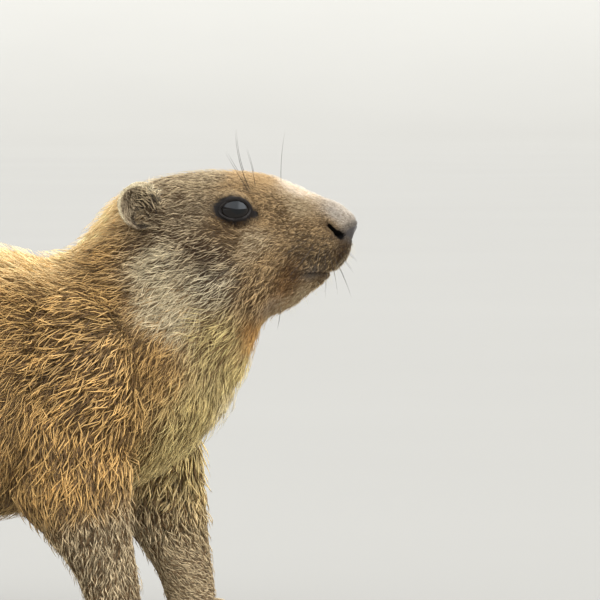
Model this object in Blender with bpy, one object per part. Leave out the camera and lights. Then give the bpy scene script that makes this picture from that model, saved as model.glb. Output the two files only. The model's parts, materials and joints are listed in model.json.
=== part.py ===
"""A life-size alpine marmot that stands on all fours with its head raised, as a museum shows one.

Metres, +Z up, +X towards the nose, +Y the animal's left. The trunk, from the nose to the rump, is one
lofted form that is parted into head, neck, chest and hindquarters. Legs, feet, tail, ears, eyes and
nose pad are forms of their own, which meet it with a small gap. Where the coat is long, a node is a
core that carries flat tapered locks, whose tips reach the form's full outline.
"""

import math

import bmesh
import bpy
import numpy as np
from mathutils import Matrix, Vector
from mathutils.bvhtree import BVHTree

# Clearance between nodes that touch in the animal
GAP = 0.0003

# The trunk as sections from the nose tip to the rump. Each row gives the section's top and bottom
# points in the side view (x, z), its half width, how far down its widest point lies as a share of its
# height, and its squareness, where 2 is an ellipse.
TRUNK = {
    "nose_tip": (0.1502, 0.1742, 0.1501, 0.1726, 0.0016, 0.50, 2.0),
    "nose_front": (0.1490, 0.1768, 0.1489, 0.1692, 0.0064, 0.50, 2.1),
    "nose_back": (0.1472, 0.1789, 0.1473, 0.1640, 0.0100, 0.52, 2.2),
    "lip_front": (0.1447, 0.1813, 0.1448, 0.1588, 0.0126, 0.55, 2.3),
    "lip": (0.1412, 0.1835, 0.1405, 0.1553, 0.0148, 0.60, 2.4),
    "chin_front": (0.1366, 0.1852, 0.1368, 0.1518, 0.0160, 0.62, 2.4),
    "chin": (0.1310, 0.1873, 0.1310, 0.1468, 0.0176, 0.62, 2.4),
    "muzzle": (0.1245, 0.1905, 0.1245, 0.1413, 0.0198, 0.60, 2.4),
    "stop": (0.1175, 0.1934, 0.1185, 0.1378, 0.0226, 0.57, 2.4),
    "brow": (0.1075, 0.1957, 0.1130, 0.1352, 0.0260, 0.54, 2.4),
    "eye": (0.0970, 0.1966, 0.1100, 0.1320, 0.0286, 0.53, 2.4),
    "crown": (0.0860, 0.1966, 0.1080, 0.1280, 0.0315, 0.54, 2.3),
    "cheek": (0.0745, 0.1957, 0.1060, 0.1225, 0.0340, 0.55, 2.2),
    "ear": (0.0625, 0.1932, 0.1045, 0.1165, 0.0356, 0.56, 2.1),
    "nape": (0.0505, 0.1882, 0.1022, 0.1102, 0.0366, 0.56, 2.0),
    "neck": (0.0420, 0.1803, 0.1000, 0.1045, 0.0378, 0.55, 2.0),
    "neck_low": (0.0355, 0.1730, 0.0970, 0.0980, 0.0394, 0.55, 2.0),
    "neck_base": (0.0290, 0.1660, 0.0915, 0.0895, 0.0425, 0.55, 2.0),
    "withers": (0.0195, 0.1620, 0.0815, 0.0785, 0.0470, 0.56, 2.0),
    "shoulder": (0.0040, 0.1645, 0.0620, 0.0650, 0.0535, 0.57, 2.0),
    "breast": (-0.0160, 0.1692, 0.0300, 0.0540, 0.0605, 0.58, 2.1),
    "ribs": (-0.0440, 0.1752, -0.0160, 0.0450, 0.0685, 0.60, 2.1),
    "belly": (-0.0780, 0.1802, -0.0640, 0.0390, 0.0755, 0.61, 2.1),
    "loin": (-0.1120, 0.1818, -0.1120, 0.0370, 0.0790, 0.61, 2.1),
    "haunch": (-0.1480, 0.1772, -0.1560, 0.0390, 0.0775, 0.59, 2.1),
    "hip": (-0.1820, 0.1652, -0.1920, 0.0470, 0.0690, 0.56, 2.0),
    "rump": (-0.2090, 0.1470, -0.2180, 0.0590, 0.0540, 0.54, 2.0),
    "rump_back": (-0.2300, 0.1240, -0.2330, 0.0740, 0.0345, 0.52, 2.0),
    "rump_tip": (-0.2400, 0.1030, -0.2400, 0.0930, 0.0060, 0.50, 2.0),
}

# Soft swellings and hollows of the head, alike on both sides: place (x, y, z), reach, height
SWELLS = {
    "whisker_pad": ((0.1380, 0.0120, 0.1620), 0.0070, 0.0012),
    "muzzle_dip": ((0.1225, 0.0190, 0.1760), 0.0090, -0.0016),
    "brow_ridge": ((0.1020, 0.0190, 0.1885), 0.0075, 0.0012),
    "cheek": ((0.0860, 0.0320, 0.1560), 0.0170, 0.0016),
    "jowl": ((0.1080, 0.0220, 0.1460), 0.0110, 0.0012),
    "eye_hollow": ((0.1086, 0.0232, 0.1775), 0.0060, -0.0026),
}

# The trunk's nodes: the sections where each begins and ends, and how far apart its rings are
TRUNK_NODES = {
    "head": ("nose_tip", "neck", 0.0060),
    "neck": ("neck", "withers", 0.0110),
    "chest": ("withers", "belly", 0.0200),
    "hindquarters": ("belly", "rump_tip", 0.0200),
}
TRUNK_SIDES = 28

# Depth of the coat at the trunk's sections. The core lies half of it inside the outline.
COAT = {
    "nose_tip": 0.0,
    "eye": 0.0,
    "cheek": 0.0015,
    "nape": 0.0060,
    "neck": 0.0090,
    "withers": 0.0110,
    "ribs": 0.0120,
    "rump": 0.0130,
    "rump_tip": 0.0100,
}
LEG_COAT = 0.0060
# The tail's coat takes this share of its radius round the core
TAIL_CORE = 0.42
# The core's depth as a share of the coat's
CORE_SHARE = 0.5
# How far a lock's root is sunk under the core
ROOT_SINK = 0.0022
# Rows of locks: where they begin and end, spacing of rows, spacing in a row, length and width
TRUNK_LOCKS = {
    "head": ("ear", "neck", 0.0130, 0.0180, 0.0200, 0.0160),
    "neck": ("neck", "withers", 0.0180, 0.0265, 0.0270, 0.0220),
    "chest": ("withers", "belly", 0.0260, 0.0380, 0.0360, 0.0310),
    "hindquarters": ("belly", "rump_tip", 0.0280, 0.0390, 0.0370, 0.0310),
}
TAIL_LOCKS = (0.0280, 0.0340, 0.0370, 0.0240)
LEG_LOCKS = (0.0270, 0.0310, 0.0310, 0.0240)
# Along a lock: share of its length, of its width, of the way from the core to the outline, thickness
LOCK_SHAPE = ((0.0, 0.55, 0.0, 0.0022), (0.35, 1.0, 0.12, 0.0026), (0.70, 0.66, 0.62, 0.0016))
# How much the locks of the flanks turn towards the belly, in radians for each metre of their length
LOCK_DROOP = 8.0
LOCK_CLEARANCE = 0.0005
# How far the last locks stay from the end of the rump
RUMP_MARGIN = 0.0030
LOCK_SEED = 7

EYE_PLACE = (0.0985, 0.0198, 0.1805)
EYE_RADIUS = 0.0076
# The way the eye looks on the left side: forward, out and up
EYE_LOOK = (0.22, 0.94, 0.24)
# Lid opening: half lengths towards the nose and the ear, half height, slant down to the nose
LID_FRONT, LID_BACK, LID_HEIGHT, LID_SLANT = 0.0068, 0.0064, 0.0045, math.radians(16)
LID_THICK = 0.0015
LID_STEPS = 20

NOSE_PLACE = (0.1452, 0.0, 0.1697)
NOSE_SIZE = (0.0050, 0.0086, 0.0042)
# Each nostril is a short bent slot in the side view, from its outer back end to its inner front end
NOSTRIL = ((0.1390, 0.1736), (0.1420, 0.1712), (0.1450, 0.1690))
NOSTRIL_RADIUS, NOSTRIL_SINK = 0.0014, 0.0003
# The mouth line runs round the muzzle: its height at turns from the front to its corners
MOUTH_CENTRE_X = 0.1180
MOUTH = ((0, 0.1545), (30, 0.1540), (60, 0.1524), (80, 0.1508), (96, 0.1503))
MOUTH_RADIUS, MOUTH_DEPTH, MOUTH_STEPS = 0.0008, 0.0014, 22

# Whiskers of brow, snout and lip: root in the side view (x, z), the way they point on the left, how
# they bend, and their length
WHISKERS = (
    ((0.1050, 0.1890), (-0.42, 0.25, 0.86), (0.42, 0.0, 0.0), 0.0300),
    ((0.1046, 0.1880), (-0.50, 0.22, 0.84), (0.0, 0.0, 0.0), 0.0210),
    ((0.1072, 0.1905), (-0.10, 0.25, 0.95), (-0.25, 0.0, 0.0), 0.0175),
    ((0.1180, 0.1915), (-0.05, 0.15, 0.98), (0.25, 0.0, 0.0), 0.0240),
    ((0.1400, 0.1610), (0.45, 0.45, -0.77), (-0.10, 0.0, -0.25), 0.0200),
    ((0.1360, 0.1635), (0.15, 0.70, -0.68), (-0.25, 0.0, -0.25), 0.0250),
    ((0.1320, 0.1665), (-0.25, 0.85, -0.45), (-0.45, 0.0, -0.25), 0.0300),
)
WHISKER_RADIUS, WHISKER_SINK = 0.0005, 0.0020
# Along a whisker: share of its length and of its thickness
WHISKER_SHAPE = ((0.5, 0.7), (1.0, 0.0))

EAR_PLACE = (0.0585, 0.0262, 0.1822)
EAR_LOOK = (0.34, 0.92, 0.16)
# The ear's half width and half height, its cup's depth, and its wall
EAR_WIDTH, EAR_HEIGHT, EAR_DEPTH, EAR_WALL = 0.0092, 0.0098, 0.0068, 0.0014
# How much wider the ear is at its top than at its middle, as a share
EAR_TAPER = 0.14
# How far the rear and top rim flare out past the front rim
EAR_FLARE = 0.0050
EAR_STEPS = 16

# How far each leg stands forward of the right one's place: fore and hind
STEPS = {"right": (0.0, 0.0), "left": (0.030, -0.018)}

# Feet: the sole's length, width and height, how far the heel lies behind the leg, how many toes, and
# how far the foot turns out
FORE_FOOT = (0.026, 0.021, 0.014, 0.010, 4, 0.10)
HIND_FOOT = (0.052, 0.024, 0.016, 0.014, 5, 0.16)
# Where the toes are rooted, as a share of the sole, and how far apart, as a share of its width
KNUCKLES, TOE_PITCH = 0.75, 0.40
TOE_LENGTH, TOE_RADIUS, TOE_SPREAD = 0.0165, 0.0036, 0.30
OUTER_TOE_SHORT, OUTER_TOE_BACK = 0.0026, 0.0030
CLAW_LENGTH, CLAW_RADIUS, CLAW_DROP = 0.0105, 0.0015, 0.46
CLAW_SINK, CLAW_TIP_HEIGHT = 0.0010, 0.0012
# The sole from heel to knuckles, and a toe from its root to its tip: share of the length, width, height
SOLE_SHAPE = ((0.0, 0.35, 0.45), (0.12, 0.72, 0.85), (0.5, 0.88, 1.0), (0.85, 1.0, 0.86), (1.0, 0.62, 0.55))
TOE_SHAPE = ((0.0, 0.85, 1.15), (0.35, 1.0, 1.1), (0.75, 1.0, 0.9), (1.0, 0.72, 0.85), (1.08, 0.3, 0.8))
# A claw: share of its length, drop, thickness
CLAW_SHAPE = (
    (-0.45, 0.0, 0.9),
    (0.0, 0.0, 1.0),
    (0.35, 0.10, 0.85),
    (0.7, 0.28, 0.55),
    (1.0, CLAW_DROP, 0.18),
)
# Height of the seams between legs and feet, and the fineness of the lower legs
WRIST_HEIGHT, HOCK_HEIGHT = 0.0195, 0.0225
LEG_SPACING, LEG_SIDES = 0.0100, 12

# Tail: rows of x, y, z and radius
TAIL = (
    (-0.224, 0.0000, 0.0995, 0.0150),
    (-0.244, 0.0005, 0.0930, 0.0190),
    (-0.270, 0.0020, 0.0780, 0.0215),
    (-0.299, 0.0050, 0.0600, 0.0225),
    (-0.328, 0.0090, 0.0460, 0.0215),
    (-0.354, 0.0135, 0.0370, 0.0170),
    (-0.372, 0.0170, 0.0330, 0.0095),
    (-0.380, 0.0185, 0.0315, 0.0020),
)

# Finishes: colour and roughness
FINISHES = {
    "face_coat": ((0.27, 0.21, 0.15), 0.85),
    "grizzled_coat": ((0.30, 0.21, 0.12), 0.85),
    "golden_coat": ((0.46, 0.31, 0.14), 0.85),
    "foot_coat": ((0.40, 0.31, 0.20), 0.80),
    "tail_coat": ((0.14, 0.085, 0.050), 0.85),
    "ear_coat": ((0.20, 0.155, 0.11), 0.85),
    "nose_skin": ((0.030, 0.026, 0.026), 0.35),
    "eye_gloss": ((0.012, 0.009, 0.008), 0.05),
}


def clear_scene():
    for obj in list(bpy.data.objects):
        bpy.data.objects.remove(obj)


def collection(name):
    made = bpy.data.collections.new(name)
    bpy.context.scene.collection.children.link(made)
    return made


def through(knots, rows, places):
    """Rows read at the given places from a smooth curve through the rows at the knots."""
    knots, rows, places = (np.asarray(a, float) for a in (knots, rows, places))
    step = np.diff(knots)
    slope = np.diff(rows, axis=0) / step[:, None]
    tangent = np.empty_like(rows)
    tangent[0], tangent[-1] = slope[0], slope[-1]
    before, after = step[:-1, None], step[1:, None]
    tangent[1:-1] = (slope[:-1] * after + slope[1:] * before) / (before + after)
    i = np.clip(np.searchsorted(knots, places, "right") - 1, 0, len(knots) - 2)
    s = ((places - knots[i]) / step[i])[..., None]
    h = step[i][..., None]
    return (
        rows[i] * (2 * s**3 - 3 * s**2 + 1)
        + rows[i + 1] * (3 * s**2 - 2 * s**3)
        + tangent[i] * h * (s**3 - 2 * s**2 + s)
        + tangent[i + 1] * h * (s**3 - s**2)
    )


TRUNK_ROWS = np.array(list(TRUNK.values()))
MIDDLES = (TRUNK_ROWS[:, 0:2] + TRUNK_ROWS[:, 2:4]) / 2
# Distance of each section from the nose tip, along the trunk's middle line
ALONG = np.concatenate([[0], np.cumsum(np.linalg.norm(np.diff(MIDDLES, axis=0), axis=1))])
PLACE = dict(zip(TRUNK, ALONG))


def power(value, exponent):
    return np.sign(value) * np.abs(value) ** exponent


def trunk_point(along, turn):
    """Points of the trunk before its swellings. A turn of 0 is the top, and it grows to the left."""
    rows = through(ALONG, TRUNK_ROWS, along)
    top, low = rows[..., 0:2], rows[..., 2:4]
    width, widest, square = rows[..., 4], rows[..., 5], rows[..., 6]
    middle = top + (low - top) * widest[..., None]
    height = np.linalg.norm(top - low, axis=-1)
    up = (top - low) / height[..., None]
    rise = power(np.cos(turn), 2 / square)
    rise = rise * height * np.where(rise > 0, widest, 1 - widest)
    side = power(np.sin(turn), 2 / square) * width
    spot = middle + up * rise[..., None]
    return np.stack([spot[..., 0], side, spot[..., 1]], axis=-1)


def swell(points):
    """How far the head's swellings lift each point off the plain trunk."""
    lift = np.zeros(points.shape[:-1])
    mirrored = points * [1, 0, 1] + np.abs(points) * [0, 1, 0]
    for place, reach, height in SWELLS.values():
        away = ((mirrored - place) ** 2).sum(-1)
        lift += height * np.exp(-away / reach**2)
    return lift


def trunk_skin(along, turn, lift=0.0):
    """Points of the finished trunk, lifted along its normal."""
    along, turn = np.broadcast_arrays(np.asarray(along, float), np.asarray(turn, float))
    near, small = 0.0004, 0.01
    plain = trunk_point(along, turn)
    down = trunk_point(np.clip(along + near, 0, ALONG[-1]), turn)
    down = down - trunk_point(np.clip(along - near, 0, ALONG[-1]), turn)
    across = trunk_point(along, turn + small) - trunk_point(along, turn - small)
    normal = np.cross(across, down)
    normal /= np.linalg.norm(normal, axis=-1, keepdims=True) + 1e-12
    return plain + normal * (swell(plain) + lift)[..., None]


def finish(obj, name):
    """Gives the object one of the finishes."""
    material = bpy.data.materials.get(name)
    if material is None:
        colour, roughness = FINISHES[name]
        material = bpy.data.materials.new(name)
        material.use_nodes = True
        shader = material.node_tree.nodes["Principled BSDF"]
        shader.inputs["Base Color"].default_value = (*colour, 1.0)
        shader.inputs["Roughness"].default_value = roughness
        material.diffuse_color = (*colour, 1.0)
    obj.data.materials.clear()
    obj.data.materials.append(material)


def ring_places(start, end, spacing):
    """Places of rings from one place to another, closest together at the nose."""
    places = [start]
    while places[-1] < end:
        places.append(places[-1] + spacing * min(1.0, 0.28 + places[-1] / 0.035))
    places[-1] = end
    if len(places) > 2 and places[-1] - places[-2] < 0.4 * spacing:
        places.pop(-2)
    return places


def trunk_rings(name):
    """Ring places of one of the trunk's nodes."""
    start, end, spacing = TRUNK_NODES[name]
    return ring_places(PLACE[start], PLACE[end], spacing)


def trunk_grid(places, lift=0.0):
    """Rings of the trunk's core at the given places, lifted a little where asked."""
    turns = np.linspace(0, 2 * math.pi, TRUNK_SIDES, endpoint=False)
    places = np.array(places)[:, None]
    return trunk_skin(places, turns[None, :], core_lift(places) + lift)


def coat_depth(along):
    sections = [PLACE[name] for name in COAT]
    return np.interp(along, sections, list(COAT.values()))


def core_lift(along):
    """How far the trunk's core lies inside its outline, as a negative lift."""
    return -CORE_SHARE * coat_depth(along)


def limb_knots(rows):
    """Distance of each of a limb's rows from its first, along its middle line."""
    steps = np.linalg.norm(np.diff(np.asarray(rows, float)[:, :3], axis=0), axis=1)
    return np.concatenate([[0], np.cumsum(steps)])


def limb_radius(rows, place):
    return float(np.interp(place, limb_knots(rows), [row[3] for row in rows]))


def limb_skin(rows, place, turn, lift=0.0):
    """Points of a limb along rows of x, y, z, fore-and-aft radius and side radius."""
    place, turn = np.broadcast_arrays(np.asarray(place, float), np.asarray(turn, float))
    knots = limb_knots(rows)
    near = knots[-1] * 0.02
    found = through(knots, rows, place)
    after = through(knots, rows, np.minimum(place + near, knots[-1]))
    before = through(knots, rows, np.maximum(place - near, 0))
    tangent = after[..., :3] - before[..., :3]
    tangent /= np.linalg.norm(tangent, axis=-1, keepdims=True)
    side = np.array([0.0, 1.0, 0.0]) - tangent * tangent[..., 1:2]
    side /= np.linalg.norm(side, axis=-1, keepdims=True)
    front = np.cross(side, tangent)
    radii = found[..., 3:5] + np.asarray(lift)[..., None]
    return (
        found[..., :3]
        + front * (radii[..., 0] * np.cos(turn))[..., None]
        + side * (radii[..., 1] * np.sin(turn))[..., None]
    )


def limb_grid(rows, spacing, segments, lift=0.0):
    length = limb_knots(rows)[-1]
    places = np.linspace(0, length, max(3, round(length / spacing) + 1))
    turns = np.linspace(0, 2 * math.pi, segments, endpoint=False)
    return limb_skin(rows, places[:, None], turns[None, :], lift)


def mesh_object(name, verts, faces, group):
    mesh = bpy.data.meshes.new(name)
    mesh.from_pydata([tuple(v) for v in verts], [], faces)
    work = bmesh.new()
    work.from_mesh(mesh)
    bmesh.ops.remove_doubles(work, verts=work.verts, dist=0.00001)
    bmesh.ops.triangulate(work, faces=work.faces)
    bmesh.ops.recalc_face_normals(work, faces=work.faces)
    work.to_mesh(mesh)
    work.free()
    obj = bpy.data.objects.new(name, mesh)
    group.objects.link(obj)
    return obj


def tube_object(name, grid, group, looped=False):
    """A closed body from rings of points, with a fan at each end or joined into a loop."""
    rings, segments = grid.shape[:2]
    verts = list(grid.reshape(-1, 3))
    faces = []
    for r in range(rings if looped else rings - 1):
        for s in range(segments):
            a, b = r * segments, (r + 1) % rings * segments
            t = (s + 1) % segments
            faces.append((a + s, a + t, b + t, b + s))
    if not looped:
        for ring, base in ((grid[0], 0), (grid[-1], (rings - 1) * segments)):
            verts.append(ring.mean(axis=0))
            for s in range(segments):
                faces.append((base + s, base + (s + 1) % segments, len(verts) - 1))
    return mesh_object(name, verts, faces, group)


def ball_object(name, place, size, group, rings=8, segments=14):
    """An ellipsoid from Blender's sphere, with its poles up and down."""
    mesh = bpy.data.meshes.new(name)
    work = bmesh.new()
    bmesh.ops.create_uvsphere(work, u_segments=segments, v_segments=rings, radius=1.0)
    bmesh.ops.scale(work, vec=size, verts=work.verts)
    bmesh.ops.translate(work, vec=place, verts=work.verts)
    bmesh.ops.triangulate(work, faces=work.faces)
    work.to_mesh(mesh)
    work.free()
    obj = bpy.data.objects.new(name, mesh)
    group.objects.link(obj)
    return obj


def settle(obj):
    """Applies the object's modifiers, which keeps only its largest closed surface."""
    graph = bpy.context.evaluated_depsgraph_get()
    mesh = bpy.data.meshes.new_from_object(obj.evaluated_get(graph))
    obj.modifiers.clear()
    obj.data = mesh
    keep_largest(obj)


def keep_largest(obj):
    work = bmesh.new()
    work.from_mesh(obj.data)
    bmesh.ops.remove_doubles(work, verts=work.verts, dist=0.00001)
    bmesh.ops.dissolve_degenerate(work, edges=work.edges, dist=0.00001)
    left = set(work.verts)
    islands = []
    while left:
        island, todo = set(), [left.pop()]
        while todo:
            vert = todo.pop()
            island.add(vert)
            for edge in vert.link_edges:
                other = edge.other_vert(vert)
                if other in left:
                    left.remove(other)
                    todo.append(other)
        islands.append(island)
    islands.sort(key=len)
    for island in islands[:-1]:
        bmesh.ops.delete(work, geom=list(island), context="VERTS")
    bmesh.ops.dissolve_limit(work, angle_limit=math.radians(2.0), verts=work.verts, edges=work.edges)
    bmesh.ops.triangulate(work, faces=work.faces)
    work.to_mesh(obj.data)
    work.free()


def boolean(obj, operation, others):
    """Joins or cuts with a group of closed meshes, and removes them."""
    group = bpy.data.collections.new("tools")
    for other in others:
        group.objects.link(other)
    modifier = obj.modifiers.new(operation.lower(), "BOOLEAN")
    modifier.operation = operation
    modifier.operand_type = "COLLECTION"
    modifier.collection = group
    modifier.solver = "EXACT"
    bpy.context.view_layer.update()
    settle(obj)
    for other in others:
        bpy.data.objects.remove(other)
    bpy.data.collections.remove(group)
    return obj


def fuse(obj, others):
    return boolean(obj, "UNION", others)


def cut(obj, others):
    return boolean(obj, "DIFFERENCE", others)


def both_sides(point, side):
    return Vector((point[0], side * point[1], point[2]))


def tree_of(obj):
    return BVHTree.FromObject(obj, bpy.context.evaluated_depsgraph_get())


def on_flank(tree, x, z, side):
    """The point of the head's side at this place in the side view, and its normal."""
    spot, normal, _, _ = tree.ray_cast(Vector((x, side * 0.2, z)), Vector((0, -side, 0)))
    return spot, normal


def trunk_cutter(group):
    """The whole trunk a little larger, on the rings of its nodes, which trims what grows from it."""
    places = sorted({place for name in TRUNK_NODES for place in trunk_rings(name)})
    return tube_object("trunk_room", trunk_grid(places, GAP * 1.2), group)


def look_frame(look, side):
    """Axes of something that looks out of the head: forward, up and out."""
    out = both_sides(look, side).normalized()
    up = (Vector((0, 0, 1)) - out * out.z).normalized()
    ahead = out.cross(up) if side > 0 else up.cross(out)
    return ahead, up, out


def almond():
    """The outline of the open lids round the eye's axis, forward and up."""
    outline = []
    for step in range(LID_STEPS):
        angle = 2 * math.pi * step / LID_STEPS
        length = (LID_FRONT if math.cos(angle) > 0 else LID_BACK) * math.cos(angle)
        height = LID_HEIGHT * math.copysign(abs(math.sin(angle)) ** 1.25, math.sin(angle))
        x = length * math.cos(LID_SLANT) + height * math.sin(LID_SLANT)
        y = -length * math.sin(LID_SLANT) + height * math.cos(LID_SLANT)
        outline.append((x, y))
    return outline


def whisker(tree, side, root, way, bend, length, group):
    """A thin spike that is rooted under the face and tapers to its tip."""
    spot, _ = on_flank(tree, *root, side)
    way, bend = both_sides(way, side).normalized(), both_sides(bend, side)
    rows = [(*(spot - way * WHISKER_SINK), WHISKER_RADIUS, WHISKER_RADIUS)]
    for share, thick in WHISKER_SHAPE:
        point = spot + (way * share + bend * (0.5 * share * share)) * length
        rows.append((*point, WHISKER_RADIUS * thick, WHISKER_RADIUS * thick))
    return tube_object("whisker", limb_grid(rows, length / 2, 3), group)


def lid_opening(side, group):
    """A cutter that opens the head from the eyeball outwards, inside the lids."""
    ahead, up, out = look_frame(EYE_LOOK, side)
    centre = both_sides(EYE_PLACE, side)
    grid = [
        [centre + ahead * x + up * y + out * (EYE_RADIUS * depth) for x, y in almond()]
        for depth in (0.2, 2.5)
    ]
    return tube_object("lid_opening", np.array(grid), group)


def lid_ring(side, group):
    """The rim of both lids, which follows the eyeball."""
    ahead, up, out = look_frame(EYE_LOOK, side)
    centre = both_sides(EYE_PLACE, side)
    reach = EYE_RADIUS + 0.0004
    grid = []
    for x, y in almond():
        depth = math.sqrt(max(reach**2 - x**2 - y**2, (0.30 * reach) ** 2))
        spot = centre + ahead * x + up * y + out * depth
        radial = (ahead * x + up * y).normalized()
        ring = []
        for turn in range(5):
            angle = 2 * math.pi * turn / 5
            ring.append(
                spot
                + radial * (LID_THICK * (0.7 + math.cos(angle)))
                + out * (LID_THICK * 0.85 * math.sin(angle))
            )
        grid.append(ring)
    return tube_object("lids", np.array(grid), group, looped=True)


def make_eye(side, name, group):
    eye = ball_object(name, (0, 0, 0), (EYE_RADIUS,) * 3, group)
    turned = Vector((0, 0, 1)).rotation_difference(both_sides(EYE_LOOK, side))
    eye.data.transform(Matrix.Translation(both_sides(EYE_PLACE, side)) @ turned.to_matrix().to_4x4())
    return eye


def ear_grid(side, inner=True, lift=0.0):
    """The ear's cup as rings: out over its back, round the rim, and down into its hollow."""
    ahead, up, out = look_frame(EAR_LOOK, side)
    centre = both_sides(EAR_PLACE, side)
    shares = (0.15, 0.50, 0.82, 1.0)
    rows = [(share, -EAR_WALL - lift) for share in shares]
    if inner:
        rows += [(1.03, -EAR_WALL * 0.45)]
        rows += [(share * 0.97, 0.0) for share in shares[::-1]]
    else:
        rows += [(1.05, 0.012), (0.6, 0.02)]
    grid = []
    for share, level in rows:
        ring = []
        for step in range(EAR_STEPS):
            angle = 2 * math.pi * step / EAR_STEPS
            ahead_part, up_part = math.cos(angle), math.sin(angle)
            wide = EAR_WIDTH * (1.0 + EAR_TAPER * up_part) + lift
            tall = EAR_HEIGHT + lift
            flare = EAR_FLARE * (0.5 - 0.5 * (0.85 * ahead_part - 0.35 * up_part))
            depth = -EAR_DEPTH * (1 - min(share, 1.0) ** 2) + flare * share**2 + level
            spot = centre + ahead * (wide * share * ahead_part + 0.0016 * (1 - share))
            spot += up * (tall * share * up_part - 0.0020 * (1 - share)) + out * depth
            ring.append(spot)
        grid.append(ring)
    return np.array(grid)


def make_head(group):
    """The head with its lids, sockets, mouth line, nostrils and whiskers, and the nose pad."""
    head = tube_object("head", trunk_grid(trunk_rings("head")), group)
    tree = tree_of(head)
    cut(head, [lid_opening(side, group) for side in (-1, 1)])
    fuse(head, [lid_ring(side, group) for side in (-1, 1)])
    socket = (EYE_RADIUS + GAP * 1.5,) * 3
    for side in (-1, 1):
        cut(head, [ball_object("socket", both_sides(EYE_PLACE, side), socket, group)])
        cut(head, [tube_object("ear_socket", ear_grid(side, inner=False, lift=GAP), group)])
        cut(head, [slot_cutter("nostril", nostril_path(tree, side), NOSTRIL_RADIUS, group)])
    cut(head, [mouth_cutter(tree, group)])
    cut(head, [ball_object("nose_room", NOSE_PLACE, [size + GAP for size in NOSE_SIZE], group)])
    fuse(head, [whisker(tree, side, *sizes, group) for side in (-1, 1) for sizes in WHISKERS])
    nose = ball_object("nose", NOSE_PLACE, NOSE_SIZE, group)
    for side in (-1, 1):
        cut(nose, [slot_cutter("nostril", nostril_path(tree, side), NOSTRIL_RADIUS, group)])
    return head, nose


def nostril_path(tree, side):
    """The nostril's points, a little under the surface of the muzzle."""
    path = []
    for x, z in NOSTRIL:
        spot, normal = on_flank(tree, x, z, side)
        path.append(spot - normal * NOSTRIL_SINK)
    return path


def slot_cutter(name, path, radius, group):
    """A tube along a short path, with narrowed ends."""
    before = path[0] - (path[1] - path[0]).normalized() * radius
    after = path[-1] + (path[-1] - path[-2]).normalized() * radius
    end = radius * 0.3
    rows = [(*before, end, end), *((*spot, radius, radius) for spot in path), (*after, end, end)]
    return tube_object(name, limb_grid(rows, radius * 1.5, 6), group)


def mouth_cutter(tree, group):
    """A thin tube sunk along the mouth line, from one corner round the front to the other."""
    turns, heights = zip(*MOUTH)
    grid = []
    for turn in np.linspace(-turns[-1], turns[-1], MOUTH_STEPS):
        height = through(turns, np.array(heights)[:, None], np.array([abs(turn)]))[0, 0]
        outward = Vector((math.cos(math.radians(turn)), math.sin(math.radians(turn)), 0))
        start = Vector((MOUTH_CENTRE_X, 0, height)) + outward * 0.1
        spot = tree.ray_cast(start, -outward)[0]
        taper = min(1.0, 0.3 + 4 * (1 - abs(turn) / turns[-1]))
        deep, tall = outward * (MOUTH_DEPTH * taper), Vector((0, 0, MOUTH_RADIUS * taper))
        grid.append([spot + deep, spot + tall, spot - deep, spot - tall])
    return tube_object("mouth_line", np.array(grid), group)


def make_trunk_node(name, group):
    """A length of the trunk whose first ring stands off the node before it by the gap."""
    grid = trunk_grid(trunk_rings(name))
    ring = grid[0]
    middle = ring.mean(axis=0)
    normal = np.cross(ring[0] - middle, ring[len(ring) // 4] - middle)
    normal /= np.linalg.norm(normal)
    if normal @ (grid[1].mean(axis=0) - middle) < 0:
        normal = -normal
    grid[0] = ring + normal * GAP
    return tube_object(name, grid, group)


def foreleg_rows(side, step):
    """Rows of the upper arm and of the forearm, which swings forward by the step."""
    upper = (
        (0.022, 0.026, 0.142, 0.012, 0.006),
        (0.027, 0.032, 0.128, 0.026, 0.017),
        (0.029 + 0.3 * step, 0.037, 0.106, 0.032, 0.021),
        (0.028 + 0.7 * step, 0.040, 0.084, 0.028, 0.019),
        (0.029 + 0.9 * step, 0.040, 0.064, 0.019, 0.014),
        (0.031 + step, 0.040, 0.054, 0.008, 0.006),
    )
    lower = (
        (0.022 + 0.9 * step, 0.040, 0.090, 0.010, 0.008),
        (0.029 + 0.9 * step, 0.040, 0.074, 0.024, 0.016),
        (0.037 + step, 0.040, 0.052, 0.018, 0.014),
        (0.044 + step, 0.040, 0.034, 0.0130, 0.0115),
        (0.048 + step, 0.040, 0.0195, 0.0112, 0.0105),
        (0.050 + step, 0.040, 0.0080, 0.0100, 0.0095),
    )
    return [[(x, side * y, z, f, s) for x, y, z, f, s in rows] for rows in (upper, lower)]


def hindleg_rows(side, step):
    """Rows of the thigh and of the shank, which stands forward by the step."""
    upper = (
        (-0.170, 0.038, 0.148, 0.020, 0.010),
        (-0.171, 0.044, 0.134, 0.036, 0.020),
        (-0.165 + 0.3 * step, 0.051, 0.108, 0.048, 0.027),
        (-0.155 + 0.6 * step, 0.056, 0.080, 0.044, 0.025),
        (-0.147 + step, 0.057, 0.056, 0.032, 0.019),
        (-0.144 + step, 0.056, 0.040, 0.014, 0.010),
    )
    lower = (
        (-0.140 + step, 0.055, 0.068, 0.018, 0.012),
        (-0.154 + step, 0.055, 0.053, 0.026, 0.017),
        (-0.175 + step, 0.054, 0.038, 0.019, 0.014),
        (-0.188 + step, 0.053, 0.0260, 0.0140, 0.0120),
        (-0.192 + step, 0.053, 0.0080, 0.0105, 0.0100),
    )
    return [[(x, side * y, z, f, s) for x, y, z, f, s in rows] for rows in (upper, lower)]


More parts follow.
